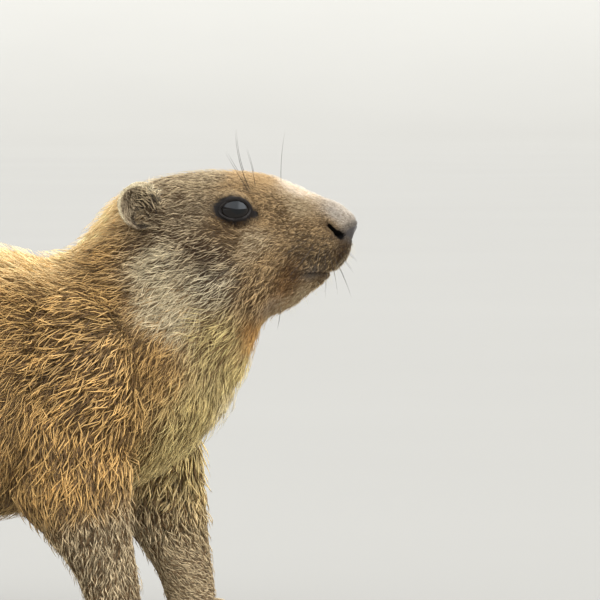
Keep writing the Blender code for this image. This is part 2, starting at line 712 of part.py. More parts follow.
def make_leg(name, rows, seam, group):
    """A leg down to its seam with the foot, fused from its two parts and parted from the trunk."""
    upper, lower = rows
    core = limb_grid(upper, LEG_SPACING, LEG_SIDES + 2, -CORE_SHARE * LEG_COAT)
    leg = tube_object(name, core, group)
    fuse(leg, [tube_object("lower", limb_grid(lower, LEG_SPACING, LEG_SIDES), group)])
    cut(leg, [box_object("below", (-1, -1, -1), (1, 1, seam), group)])
    return cut(leg, [trunk_cutter(group)])


def claw_rows(base, ahead):
    """A claw that leaves the toe forwards and curves down to its tip."""
    rows = []
    for share, drop, thick in CLAW_SHAPE:
        spot = base + ahead * (CLAW_LENGTH * share) - Vector((0, 0, CLAW_LENGTH * drop))
        rows.append((*spot, CLAW_RADIUS * thick * 1.15, CLAW_RADIUS * thick * 0.85))
    return rows


def make_foot(name, shank, seam, sizes, hand, group):
    """A foot flat on the floor, with its toes spread from the front of the sole and a claw on each."""
    length, width, height, heel_back, toes, outward = sizes
    turn = hand * outward
    heading = Vector((math.cos(turn), math.sin(turn), 0))
    across = Vector((-heading.y, heading.x, 0))
    ankle = tube_object("ankle", limb_grid(shank, LEG_SPACING, LEG_SIDES), group)
    cut(ankle, [box_object("above", (-1, -1, seam - GAP), (1, 1, 1), group)])
    heel = Vector((*shank[-1][:2], 0)) - heading * heel_back
    sole = []
    for share, wide, tall in SOLE_SHAPE:
        spot = heel + heading * (length * share)
        sole.append((spot.x, spot.y, height * tall * 0.42, height * tall * 0.55, width * wide * 0.5))
    foot = tube_object(name, limb_grid(sole, length / 5, 12), group)
    pieces = [ankle]
    knuckles = heel + heading * (length * KNUCKLES)
    for share in np.linspace(-1, 1, toes):
        angle = turn + share * TOE_SPREAD
        ahead = Vector((math.cos(angle), math.sin(angle), 0))
        outer = share * share
        long = TOE_LENGTH - OUTER_TOE_SHORT * outer
        start = knuckles + across * (share * width * TOE_PITCH) - ahead * (OUTER_TOE_BACK * outer)
        toe = []
        for part, thick, rise in TOE_SHAPE:
            spot = start + ahead * (long * part)
            toe.append((spot.x, spot.y, TOE_RADIUS * rise, TOE_RADIUS * thick, TOE_RADIUS * thick))
        pieces.append(tube_object("toe", limb_grid(toe, 0.0060, 6), group))
        tip = start + ahead * (long - CLAW_SINK)
        tip.z = CLAW_LENGTH * CLAW_DROP + CLAW_TIP_HEIGHT
        pieces.append(tube_object("claw", limb_grid(claw_rows(tip, ahead), 0.0045, 4), group))
    fuse(foot, pieces)
    return cut(foot, [box_object("floor", (-1, -1, -1), (1, 1, 0), group)])


def tail_rows():
    return [(x, y, z, radius, radius) for x, y, z, radius in TAIL]


def make_tail(group):
    """The tail's core, which stops short of the tip of its coat."""
    rows = tail_rows()
    slimmer = [(*row[:3], row[3] * (1 - TAIL_CORE), row[4] * (1 - TAIL_CORE)) for row in rows[:-1]]
    tail = tube_object("tail", limb_grid(slimmer, 0.016, 12), group)
    return cut(tail, [trunk_cutter(group)])


def lock_object(surface, place, turn, length, width, drift, group):
    """A flat lock that rises from the core and tapers to a tip at the coat's outline.

    The surface gives a point for a place, a turn and a share of the way from the core to the outline,
    with an extra height in metres.
    """
    verts = []
    for share, wide, rise, thick in LOCK_SHAPE:
        there, about = place + share * length, turn + share * drift
        middle = surface(there, about, rise, 0.0)
        reach = np.linalg.norm(surface(there, about + 0.05, rise, 0.0) - middle) / 0.05
        half = 0.5 * width * wide / max(reach, 0.004)
        sunk = -ROOT_SINK if share == 0 else 0.0
        verts.append(surface(there, about - half, rise, sunk))
        verts.append(surface(there, about, rise, sunk + thick))
        verts.append(surface(there, about + half, rise, sunk))
    verts.append(surface(place + length, turn + drift, 1.0, 0.0))
    faces = [(0, 1, 2)]
    for row in range(len(LOCK_SHAPE) - 1):
        for side in range(3):
            a, b = row * 3 + side, row * 3 + (side + 1) % 3
            faces.append((a, b, b + 3, a + 3))
    last, tip = len(verts) - 4, len(verts) - 1
    faces += [(last + side, last + (side + 1) % 3, tip) for side in range(3)]
    return mesh_object("lock", verts, faces, group)


def clear_of(lock, trees):
    """Whether the lock, made a little larger, crosses none of the other nodes."""
    mesh = lock.data
    larger = [vert.co + vert.normal * LOCK_CLEARANCE for vert in mesh.vertices]
    tree = BVHTree.FromPolygons(larger, [tuple(face.vertices) for face in mesh.polygons])
    return not any(tree.overlap(other) for other in trees)


def add_locks(obj, surface, rows, sizes, random, group):
    """Fuses rows of locks to a node. A row is a place, the turns of its locks and how far tips may go.

    A lock that would come too near another node is made shorter, or left out.
    """
    length, width = sizes
    trees = [tree_of(other) for other in group.objects if other != obj]
    locks = []
    for place, turns, limit in rows:
        for turn in turns:
            at = max(0.0, place + random.uniform(-0.15, 0.15) * length)
            about = turn + random.uniform(-2.0, 2.0) * width
            long = length * random.uniform(0.85, 1.15)
            wide = width * random.uniform(0.85, 1.15)
            drift = LOCK_DROOP * long * math.sin(about) + random.uniform(-0.08, 0.08)
            for shorter in (1.0, 0.75, 0.55):
                if at + long * shorter > limit:
                    continue
                lock = lock_object(surface, at, about, long * shorter, wide, drift, group)
                if clear_of(lock, trees):
                    locks.append(lock)
                    break
                bpy.data.objects.remove(lock)
    return fuse(obj, locks)


def trunk_locks(name, random, group):
    """The locks of one of the trunk's nodes, in staggered rows that lie backwards."""
    first, last, row_step, step, length, width = TRUNK_LOCKS[name]
    start, end = PLACE[first], PLACE[last]
    count = max(1, round((end - start) / row_step))

    def surface(place, turn, rise, extra):
        place = min(place, ALONG[-1] - RUMP_MARGIN)
        return trunk_skin(place, turn, core_lift(place) * (1 - rise) + extra)

    rows = []
    for i in range(count):
        place = start + (end - start) * (i + 0.3) / count
        ring = trunk_skin(place, np.linspace(0, 2 * math.pi, 64))
        girth = np.linalg.norm(np.diff(ring, axis=0), axis=1).sum()
        rows.append((place, staggered(round(girth / step), i), ALONG[-1] - RUMP_MARGIN))
    return add_locks(bpy.data.objects[name], surface, rows, (length, width), random, group)


def staggered(number, row):
    """Turns of the locks of one row round a body, half a step on in every second row."""
    return [2 * math.pi * (j + 0.5 * (row % 2)) / number for j in range(number)]


def tail_locks(random, group):
    """The tail's locks, in rows round it that lie towards its tip."""
    row_step, step, length, width = TAIL_LOCKS
    rows = tail_rows()
    whole = limb_knots(rows)[-1]

    def surface(place, turn, rise, extra):
        lift = -TAIL_CORE * limb_radius(rows, place) * (1 - rise) + extra
        return limb_skin(rows, min(place, whole), turn, lift)

    spots = []
    places = np.arange(0.012, whole - 0.028, row_step)
    for i, place in enumerate(places):
        number = max(4, round(2 * math.pi * limb_radius(rows, place) / step))
        spots.append((place, staggered(number, i), whole))
    return add_locks(bpy.data.objects["tail"], surface, spots, (length, width), random, group)


def leg_locks(name, rows, side, random, group):
    """Locks on the outer side of the upper leg, which lie down along it."""
    row_step, step, length, width = LEG_LOCKS
    whole = limb_knots(rows)[-1]

    def surface(place, turn, rise, extra):
        lift = -CORE_SHARE * LEG_COAT * (1 - rise) + extra
        return limb_skin(rows, min(place, whole), turn, lift)

    spots = []
    for i, place in enumerate(np.arange(0.010, whole - 0.020, row_step)):
        number = max(2, round(math.pi * limb_radius(rows, place) / step))
        turns = [side * math.pi * (j + 0.5 + 0.3 * (i % 2)) / (number + 0.3) for j in range(number)]
        spots.append((place, turns, whole - 0.004))
    return add_locks(bpy.data.objects[name], surface, spots, (length, width), random, group)


def box_object(name, low, high, group):
    mesh = bpy.data.meshes.new(name)
    work = bmesh.new()
    bmesh.ops.create_cube(work, size=1.0)
    bmesh.ops.scale(work, vec=[h - l for l, h in zip(low, high)], verts=work.verts)
    bmesh.ops.translate(work, vec=[(h + l) / 2 for l, h in zip(low, high)], verts=work.verts)
    bmesh.ops.triangulate(work, faces=work.faces)
    work.to_mesh(mesh)
    work.free()
    obj = bpy.data.objects.new(name, mesh)
    group.objects.link(obj)
    return obj


def stand_on_origin(group):
    """Moves the whole animal so that the origin lies under the middle of its box, on the floor."""
    corners = np.array([vert.co for obj in group.objects for vert in obj.data.vertices])
    low, high = corners.min(axis=0), corners.max(axis=0)
    offset = Vector((-(low[0] + high[0]) / 2, -(low[1] + high[1]) / 2, -low[2]))
    for obj in group.objects:
        obj.data.transform(Matrix.Translation(offset))


def build():
    clear_scene()
    model = collection("alpine_marmot")
    head, nose = make_head(model)
    finish(head, "face_coat")
    finish(nose, "nose_skin")
    finish(make_trunk_node("neck", model), "golden_coat")
    finish(make_trunk_node("chest", model), "grizzled_coat")
    finish(make_trunk_node("hindquarters", model), "grizzled_coat")
    finish(make_tail(model), "tail_coat")
    for side, label in ((-1, "right"), (1, "left")):
        finish(make_eye(side, f"eye_{label}", model), "eye_gloss")
        finish(tube_object(f"ear_{label}", ear_grid(side), model), "ear_coat")
        fore_step, hind_step = STEPS[label]
        arm, thigh = foreleg_rows(side, fore_step), hindleg_rows(side, hind_step)
        finish(make_leg(f"foreleg_{label}", arm, WRIST_HEIGHT, model), "golden_coat")
        finish(make_leg(f"hindleg_{label}", thigh, HOCK_HEIGHT, model), "grizzled_coat")
        forefoot = make_foot(f"forefoot_{label}", arm[1], WRIST_HEIGHT, FORE_FOOT, side, model)
        hindfoot = make_foot(f"hindfoot_{label}", thigh[1], HOCK_HEIGHT, HIND_FOOT, side, model)
        finish(forefoot, "foot_coat")
        finish(hindfoot, "foot_coat")
    random = np.random.default_rng(LOCK_SEED)
    for side, label in ((-1, "right"), (1, "left")):
        fore_step, hind_step = STEPS[label]
        leg_locks(f"foreleg_{label}", foreleg_rows(side, fore_step)[0], side, random, model)
        leg_locks(f"hindleg_{label}", hindleg_rows(side, hind_step)[0], side, random, model)
    for name in TRUNK_LOCKS:
        trunk_locks(name, random, model)
    tail_locks(random, model)
    stand_on_origin(model)


build()
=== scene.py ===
"""Looks of the alpine marmot: one skin with its coat of solid tufts, eyes, nose, claws and whiskers.

Metres, +Z up, +X towards the nose, +Y the animal's left. Shapes are made in the solids' own design
coordinates, in which the nose tip is at x = 0.150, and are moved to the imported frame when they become
objects.
"""

import json
import math

import bpy
import numpy as np
from bpy.props import FloatProperty, FloatVectorProperty, IntProperty, PointerProperty
from bpy.types import Operator, Panel, PropertyGroup
from mathutils import Matrix, Vector, kdtree
from mathutils.bvhtree import BVHTree

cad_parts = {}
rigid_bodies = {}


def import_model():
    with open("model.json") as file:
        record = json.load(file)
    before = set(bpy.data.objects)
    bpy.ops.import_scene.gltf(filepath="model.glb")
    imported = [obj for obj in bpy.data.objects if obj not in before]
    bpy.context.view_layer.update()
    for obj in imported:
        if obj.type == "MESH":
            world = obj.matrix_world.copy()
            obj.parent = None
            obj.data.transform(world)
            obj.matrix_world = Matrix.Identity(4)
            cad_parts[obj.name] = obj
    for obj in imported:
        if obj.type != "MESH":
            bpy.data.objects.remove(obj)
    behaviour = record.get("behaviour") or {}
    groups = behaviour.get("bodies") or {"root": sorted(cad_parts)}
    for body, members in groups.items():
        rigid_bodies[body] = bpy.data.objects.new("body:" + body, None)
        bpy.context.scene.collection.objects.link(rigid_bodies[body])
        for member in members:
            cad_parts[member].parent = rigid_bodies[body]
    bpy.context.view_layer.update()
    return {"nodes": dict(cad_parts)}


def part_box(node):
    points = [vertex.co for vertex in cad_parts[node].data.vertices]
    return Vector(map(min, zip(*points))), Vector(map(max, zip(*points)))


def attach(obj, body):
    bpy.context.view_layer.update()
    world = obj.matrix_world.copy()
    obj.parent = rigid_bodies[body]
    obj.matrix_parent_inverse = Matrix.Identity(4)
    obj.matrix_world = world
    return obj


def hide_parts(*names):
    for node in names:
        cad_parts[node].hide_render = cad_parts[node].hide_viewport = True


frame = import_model()

bl_info = {
    "name": "Alpine marmot",
    "version": (1, 0, 0),
    "blender": (4, 5, 0),
    "location": "3D View > Sidebar > Marmot",
    "description": "Makes the skin, coat, eyes, nose, claws and whiskers of a marmot over its solids",
    "category": "Object",
}

BODY = "root"
FLESH = [n for n in frame["nodes"] if not n.startswith(("eye_", "nose"))]
BOTH = ((-1, "right"), (1, "left"))

# The trunk as sections from the nose tip to the rump. Each row gives the section's top and bottom
# points in the side view (x, z), its half width, how far down its widest point lies as a share of its
# height, and its squareness, where 2 is an ellipse.
TRUNK = {
    "nose_tip": (0.1502, 0.1742, 0.1501, 0.1726, 0.0016, 0.50, 2.0),
    "nose_front": (0.1490, 0.1768, 0.1489, 0.1692, 0.0064, 0.50, 2.1),
    "nose_back": (0.1472, 0.1789, 0.1473, 0.1640, 0.0100, 0.52, 2.2),
    "lip_front": (0.1447, 0.1813, 0.1448, 0.1588, 0.0126, 0.55, 2.3),
    "lip": (0.1412, 0.1835, 0.1405, 0.1553, 0.0148, 0.60, 2.4),
    "chin_front": (0.1366, 0.1852, 0.1368, 0.1518, 0.0160, 0.62, 2.4),
    "chin": (0.1310, 0.1873, 0.1310, 0.1468, 0.0176, 0.62, 2.4),
    "muzzle": (0.1245, 0.1905, 0.1245, 0.1413, 0.0198, 0.60, 2.4),
    "stop": (0.1175, 0.1934, 0.1185, 0.1378, 0.0226, 0.57, 2.4),
    "brow": (0.1075, 0.1957, 0.1130, 0.1352, 0.0260, 0.54, 2.4),
    "eye": (0.0970, 0.1966, 0.1100, 0.1320, 0.0286, 0.53, 2.4),
    "crown": (0.0860, 0.1966, 0.1080, 0.1280, 0.0315, 0.54, 2.3),
    "cheek": (0.0745, 0.1957, 0.1060, 0.1225, 0.0340, 0.55, 2.2),
    "ear": (0.0625, 0.1932, 0.1045, 0.1165, 0.0356, 0.56, 2.1),
    "nape": (0.0505, 0.1882, 0.1022, 0.1102, 0.0366, 0.56, 2.0),
    "neck": (0.0420, 0.1803, 0.1000, 0.1045, 0.0378, 0.55, 2.0),
    "neck_low": (0.0355, 0.1730, 0.0970, 0.0980, 0.0394, 0.55, 2.0),
    "neck_base": (0.0290, 0.1660, 0.0915, 0.0895, 0.0425, 0.55, 2.0),
    "withers": (0.0195, 0.1620, 0.0815, 0.0785, 0.0470, 0.56, 2.0),
    "shoulder": (0.0040, 0.1645, 0.0620, 0.0650, 0.0535, 0.57, 2.0),
    "breast": (-0.0160, 0.1692, 0.0300, 0.0540, 0.0605, 0.58, 2.1),
    "ribs": (-0.0440, 0.1752, -0.0160, 0.0450, 0.0685, 0.60, 2.1),
    "belly": (-0.0780, 0.1802, -0.0640, 0.0390, 0.0755, 0.61, 2.1),
    "loin": (-0.1120, 0.1818, -0.1120, 0.0370, 0.0790, 0.61, 2.1),
    "haunch": (-0.1480, 0.1772, -0.1560, 0.0390, 0.0775, 0.59, 2.1),
    "hip": (-0.1820, 0.1652, -0.1920, 0.0470, 0.0690, 0.56, 2.0),
    "rump": (-0.2090, 0.1470, -0.2180, 0.0590, 0.0540, 0.54, 2.0),
    "rump_back": (-0.2300, 0.1240, -0.2330, 0.0740, 0.0345, 0.52, 2.0),
    "rump_tip": (-0.2400, 0.1030, -0.2400, 0.0930, 0.0060, 0.50, 2.0),
}

# How far the skin lies inside the outline at the trunk's sections, which the coat fills
SKIN_DEPTH = {
    "nose_tip": 0.0003,
    "chin_front": 0.0005,
    "eye": 0.0008,
    "cheek": 0.0015,
    "nape": 0.0034,
    "neck": 0.0048,
    "withers": 0.0058,
    "ribs": 0.0062,
    "rump": 0.0066,
    "rump_tip": 0.0052,
}
# Where along x the carved part of the skin begins, and the snout; a distance or level beyond any mark
CARVED_START, SNOUT_START, FAR_AWAY = 0.105, 0.108, 9.0
# How far the skin lies inside legs and feet, and the share of the tail's radius that its coat fills
LEG_DEPTH, FOOT_DEPTH, TAIL_CORE = 0.0030, 0.0006, 0.42
# Points round the upper legs, and round the lower legs and the tail; then spacing of the rings and points
# round soles and toes
UPPER_SIDES, LOWER_SIDES = 60, 44
SOLE_FINENESS, TOE_FINENESS = (0.0016, 32), (0.0012, 18)

# Soft forms of the head, alike on both sides: place (x, y, z), reach, height
FORMS = {
    "whisker_pad": ((0.1375, 0.0125, 0.1625), 0.0072, 0.0015),
    "lip_lobe": ((0.1440, 0.0070, 0.1600), 0.0060, 0.0001),
    "nostril_wing": ((0.1430, 0.0100, 0.1755), 0.0045, 0.0008),
    "muzzle_dip": ((0.1225, 0.0190, 0.1760), 0.0090, -0.0018),
    "lower_lip": ((0.1340, 0.0080, 0.1490), 0.0060, 0.0008),
    "lower_lip_front": ((0.1350, 0.0000, 0.1495), 0.0060, 0.0007),
    "under_nose": ((0.1480, 0.0000, 0.1668), 0.0036, -0.0011),
    "mouth_corner": ((0.1215, 0.0190, 0.1520), 0.0055, -0.0012),
    "brow_ridge": ((0.1020, 0.0190, 0.1885), 0.0075, 0.0014),
    "cheek": ((0.0860, 0.0320, 0.1560), 0.0170, 0.0018),
    "jowl": ((0.1080, 0.0220, 0.1460), 0.0110, 0.0014),
    "eye_hollow": ((0.1086, 0.0232, 0.1775), 0.0060, -0.0026),
    "chin_fold": ((0.1240, 0.0000, 0.1385), 0.0085, 0.0006),
    "muzzle_swell": ((0.1300, 0.0170, 0.1700), 0.0080, 0.0006),
    "temple": ((0.0840, 0.0290, 0.1830), 0.0100, -0.0010),
}

# Spacing of the skin's rings by their place along the trunk
RING_STEPS = (
    (0.0, 0.00045),
    (0.030, 0.00055),
    (0.060, 0.0009),
    (0.110, 0.0012),
    (0.160, 0.0024),
    (1.0, 0.0028),
)

EYE_PLACE = (0.0985, 0.0198, 0.1805)
EYE_RADIUS = 0.0076
EYE_LOOK = (0.22, 0.94, 0.24)
# The open lids, seen from where the eye looks: centre, half lengths towards the nose and the ear, half
# height, and slant down to the nose
LID_CENTRE = (-0.0010, -0.0011)
LID_FRONT, LID_BACK, LID_HEIGHT, LID_SLANT = 0.0060, 0.0059, 0.0039, math.radians(2)
# The dark bare rim round them: centre, half length, half height and slant, and the tear duct before it
RIM_CENTRE, RIM_LENGTH, RIM_RISE, RIM_SLANT = (-0.0013, -0.0009), 0.0089, 0.0056, math.radians(9)
TEAR_DUCT, TEAR_REACH = (0.0078, -0.0021), 0.0025
# The wet edge of the lids: half width and half height, and its points round the eye and round itself
EDGE_WIDTH, EDGE_HEIGHT = 0.00048, 0.00036
EDGE_POINTS, EDGE_SIDES = 96, 12
# The lids' fold, in levels round the open lids: its place, its width and where it ends; the gap between
# the lids and the eyeball, and how deep behind the eyeball's front the skin lies inside the lids
FOLD_LEVEL, FOLD_WIDTH, FOLD_REACH = 1.25, 0.32, 2.6
LID_GAP, BEHIND_LIDS = 0.0001, 0.0016
# Colours of the eyeball, and the angles from its middle between which one turns to the next
PUPIL, IRIS, EYE_WHITE = (0.0022, 0.0020, 0.0020), (0.0060, 0.0036, 0.0020), (0.004, 0.003, 0.003)
PUPIL_EDGE, IRIS_EDGE = (0.40, 0.52), (0.74, 0.92)

# The bare pad's middle, reach and colour on the front of the snout
PAD_PLACE, PAD_REACH = (0.1492, 0.0, 0.1707), (0.0074, 0.0132, 0.0027)
PAD_TINT = (0.078, 0.069, 0.065)
# How much distances down its middle shrink, so that it runs on to the lip, and the half widths between
# which they do
PAD_TONGUE, TONGUE_WIDTH = 0.42, (0.0030, 0.0008)
# The pad's own mesh: its middle, depth, rise over the skin, rings and sides, and how deep its edge and
# its part in the nostrils are sunk
PAD_CENTRE, PAD_DEPTH, PAD_LIFT = (0.1430, 0.0, 0.1700), 0.0050, 0.0003
PAD_FINENESS, EDGE_SINK, SLOT_SINK = (100, 140), 0.0016, 0.0012
# The nostril's line in the side view (x, z); radius and depth of its hollow, the share to which
# distances shrink at its wider front, and how far in from the snout's side it may reach
NOSTRIL = ((0.1385, 0.1737), (0.1402, 0.1720), (0.1418, 0.1706), (0.1434, 0.1696))
NOSTRIL_RADIUS, NOSTRIL_DEPTH, NOSTRIL_FLARE, NOSTRIL_INWARD = 0.0009, 0.0042, 0.72, 0.0055
# The mouth line: the upright that it turns round, its points, and its heights at turns in degrees
MOUTH_CENTRE_X, MOUTH_POINTS = 0.1180, 60
MOUTH = ((0, 0.1545), (30, 0.1542), (60, 0.1534), (80, 0.1527), (96, 0.1522))
# Width and depth of its cut, and the rolled lips beside it: height, distance from it and width
LIP_WIDTH, LIP_DEPTH = 0.0008, 0.0015
LIP_ROLL, ROLL_PLACE, ROLL_WIDTH = 0.0006, 0.0024, 0.0014
# Where along x the cut begins and is whole
MOUTH_START = (0.114, 0.130)
# How much deeper and wider the mouth line is cut at the front of the lips: along x, and out to the sides
LIP_NOTCH, NOTCH_WIDENING = 0.0012, 0.5
NOTCH_START, NOTCH_SIDES = (0.1330, 0.1390), (0.0110, 0.0040)
# The groove from the nose down to the lip: width and depth, where it begins along x and below the nose
GROOVE_WIDTH, GROOVE_DEPTH = 0.0007, 0.0008
GROOVE_START, GROOVE_TOP = (0.138, 0.143), (0.1690, 0.1660)

# The ear's cup: its middle and the way it opens, half width and half height, depth and wall
EAR_PLACE = (0.0580, 0.0262, 0.1817)
EAR_LOOK = (0.34, 0.92, 0.16)
EAR_WIDTH, EAR_HEIGHT, EAR_DEPTH, EAR_WALL = 0.0096, 0.0088, 0.0056, 0.0011
# How far its rear edge stands out, how much wider it is at the top, and where the bottom of the cup lies,
# forward and up from its middle
EAR_FLARE, EAR_TAPER, EAR_SLOPE = 0.0050, 0.08, (0.0016, -0.0020)
# The pit of the ear: forward and up from its middle, its reach and depth
EAR_PIT, PIT_REACH, PIT_DEPTH = (0.0014, -0.0056), 0.0030, 0.0030

# How far each leg stands forward of the right one's place: fore and hind
STEPS = {"right": (0.0, 0.0), "left": (0.030, -0.018)}
# Feet: the sole's length, width and height, how far the heel lies behind the leg, toes, turn outwards
FORE_FOOT = (0.026, 0.021, 0.014, 0.010, 4, 0.10)
HIND_FOOT = (0.052, 0.024, 0.016, 0.014, 5, 0.16)
# The toes: where they leave the sole along it, pitch across it as a share of its width, length, radius
# and spread, and how much shorter and farther back the outer ones are
KNUCKLES, TOE_PITCH = 0.75, 0.40
TOE_LENGTH, TOE_RADIUS, TOE_SPREAD = 0.0165, 0.0036, 0.30
OUTER_TOE_SHORT, OUTER_TOE_BACK = 0.0026, 0.0030
# The claws: length, radius, drop of the tip as a share of the length, its height, and the root's depth
CLAW_LENGTH, CLAW_RADIUS, CLAW_DROP, CLAW_TIP_HEIGHT, CLAW_SINK = 0.0105, 0.0015, 0.46, 0.0012, 0.0010
# Shapes along their length: share of it, then width and height of the sole, thickness and rise of a toe,
# or drop and thickness of a claw
SOLE_SHAPE = ((0.0, 0.35, 0.45), (0.12, 0.72, 0.85), (0.5, 0.88, 1.0), (0.85, 1.0, 0.86), (1.0, 0.62, 0.55))
TOE_SHAPE = ((0.0, 0.85, 1.15), (0.35, 1.0, 1.1), (0.75, 1.0, 0.9), (1.0, 0.72, 0.85), (1.08, 0.3, 0.8))
CLAW_SHAPE = (
    (-0.45, 0.0, 0.9),
    (0.0, 0.0, 1.0),
    (0.35, 0.10, 0.85),
    (0.7, 0.28, 0.55),
    (1.0, CLAW_DROP, 0.18),
)
CLAW_POINTS, CLAW_SIDES = 22, 12
# Colour of the claws at the floor, how much paler they get with height, and the height at which they are
# palest as a share of their length
CLAW_DARK, CLAW_PALER, CLAW_PALE_HEIGHT = (0.055, 0.042, 0.034), (0.035, 0.028, 0.020), 0.6

# Tail: rows of x, y, z and radius
TAIL = (
    (-0.224, 0.0000, 0.0995, 0.0150),
    (-0.244, 0.0005, 0.0930, 0.0190),
    (-0.270, 0.0020, 0.0780, 0.0215),
    (-0.299, 0.0050, 0.0600, 0.0225),
    (-0.328, 0.0090, 0.0460, 0.0215),
    (-0.354, 0.0135, 0.0370, 0.0170),
    (-0.372, 0.0170, 0.0330, 0.0095),
)

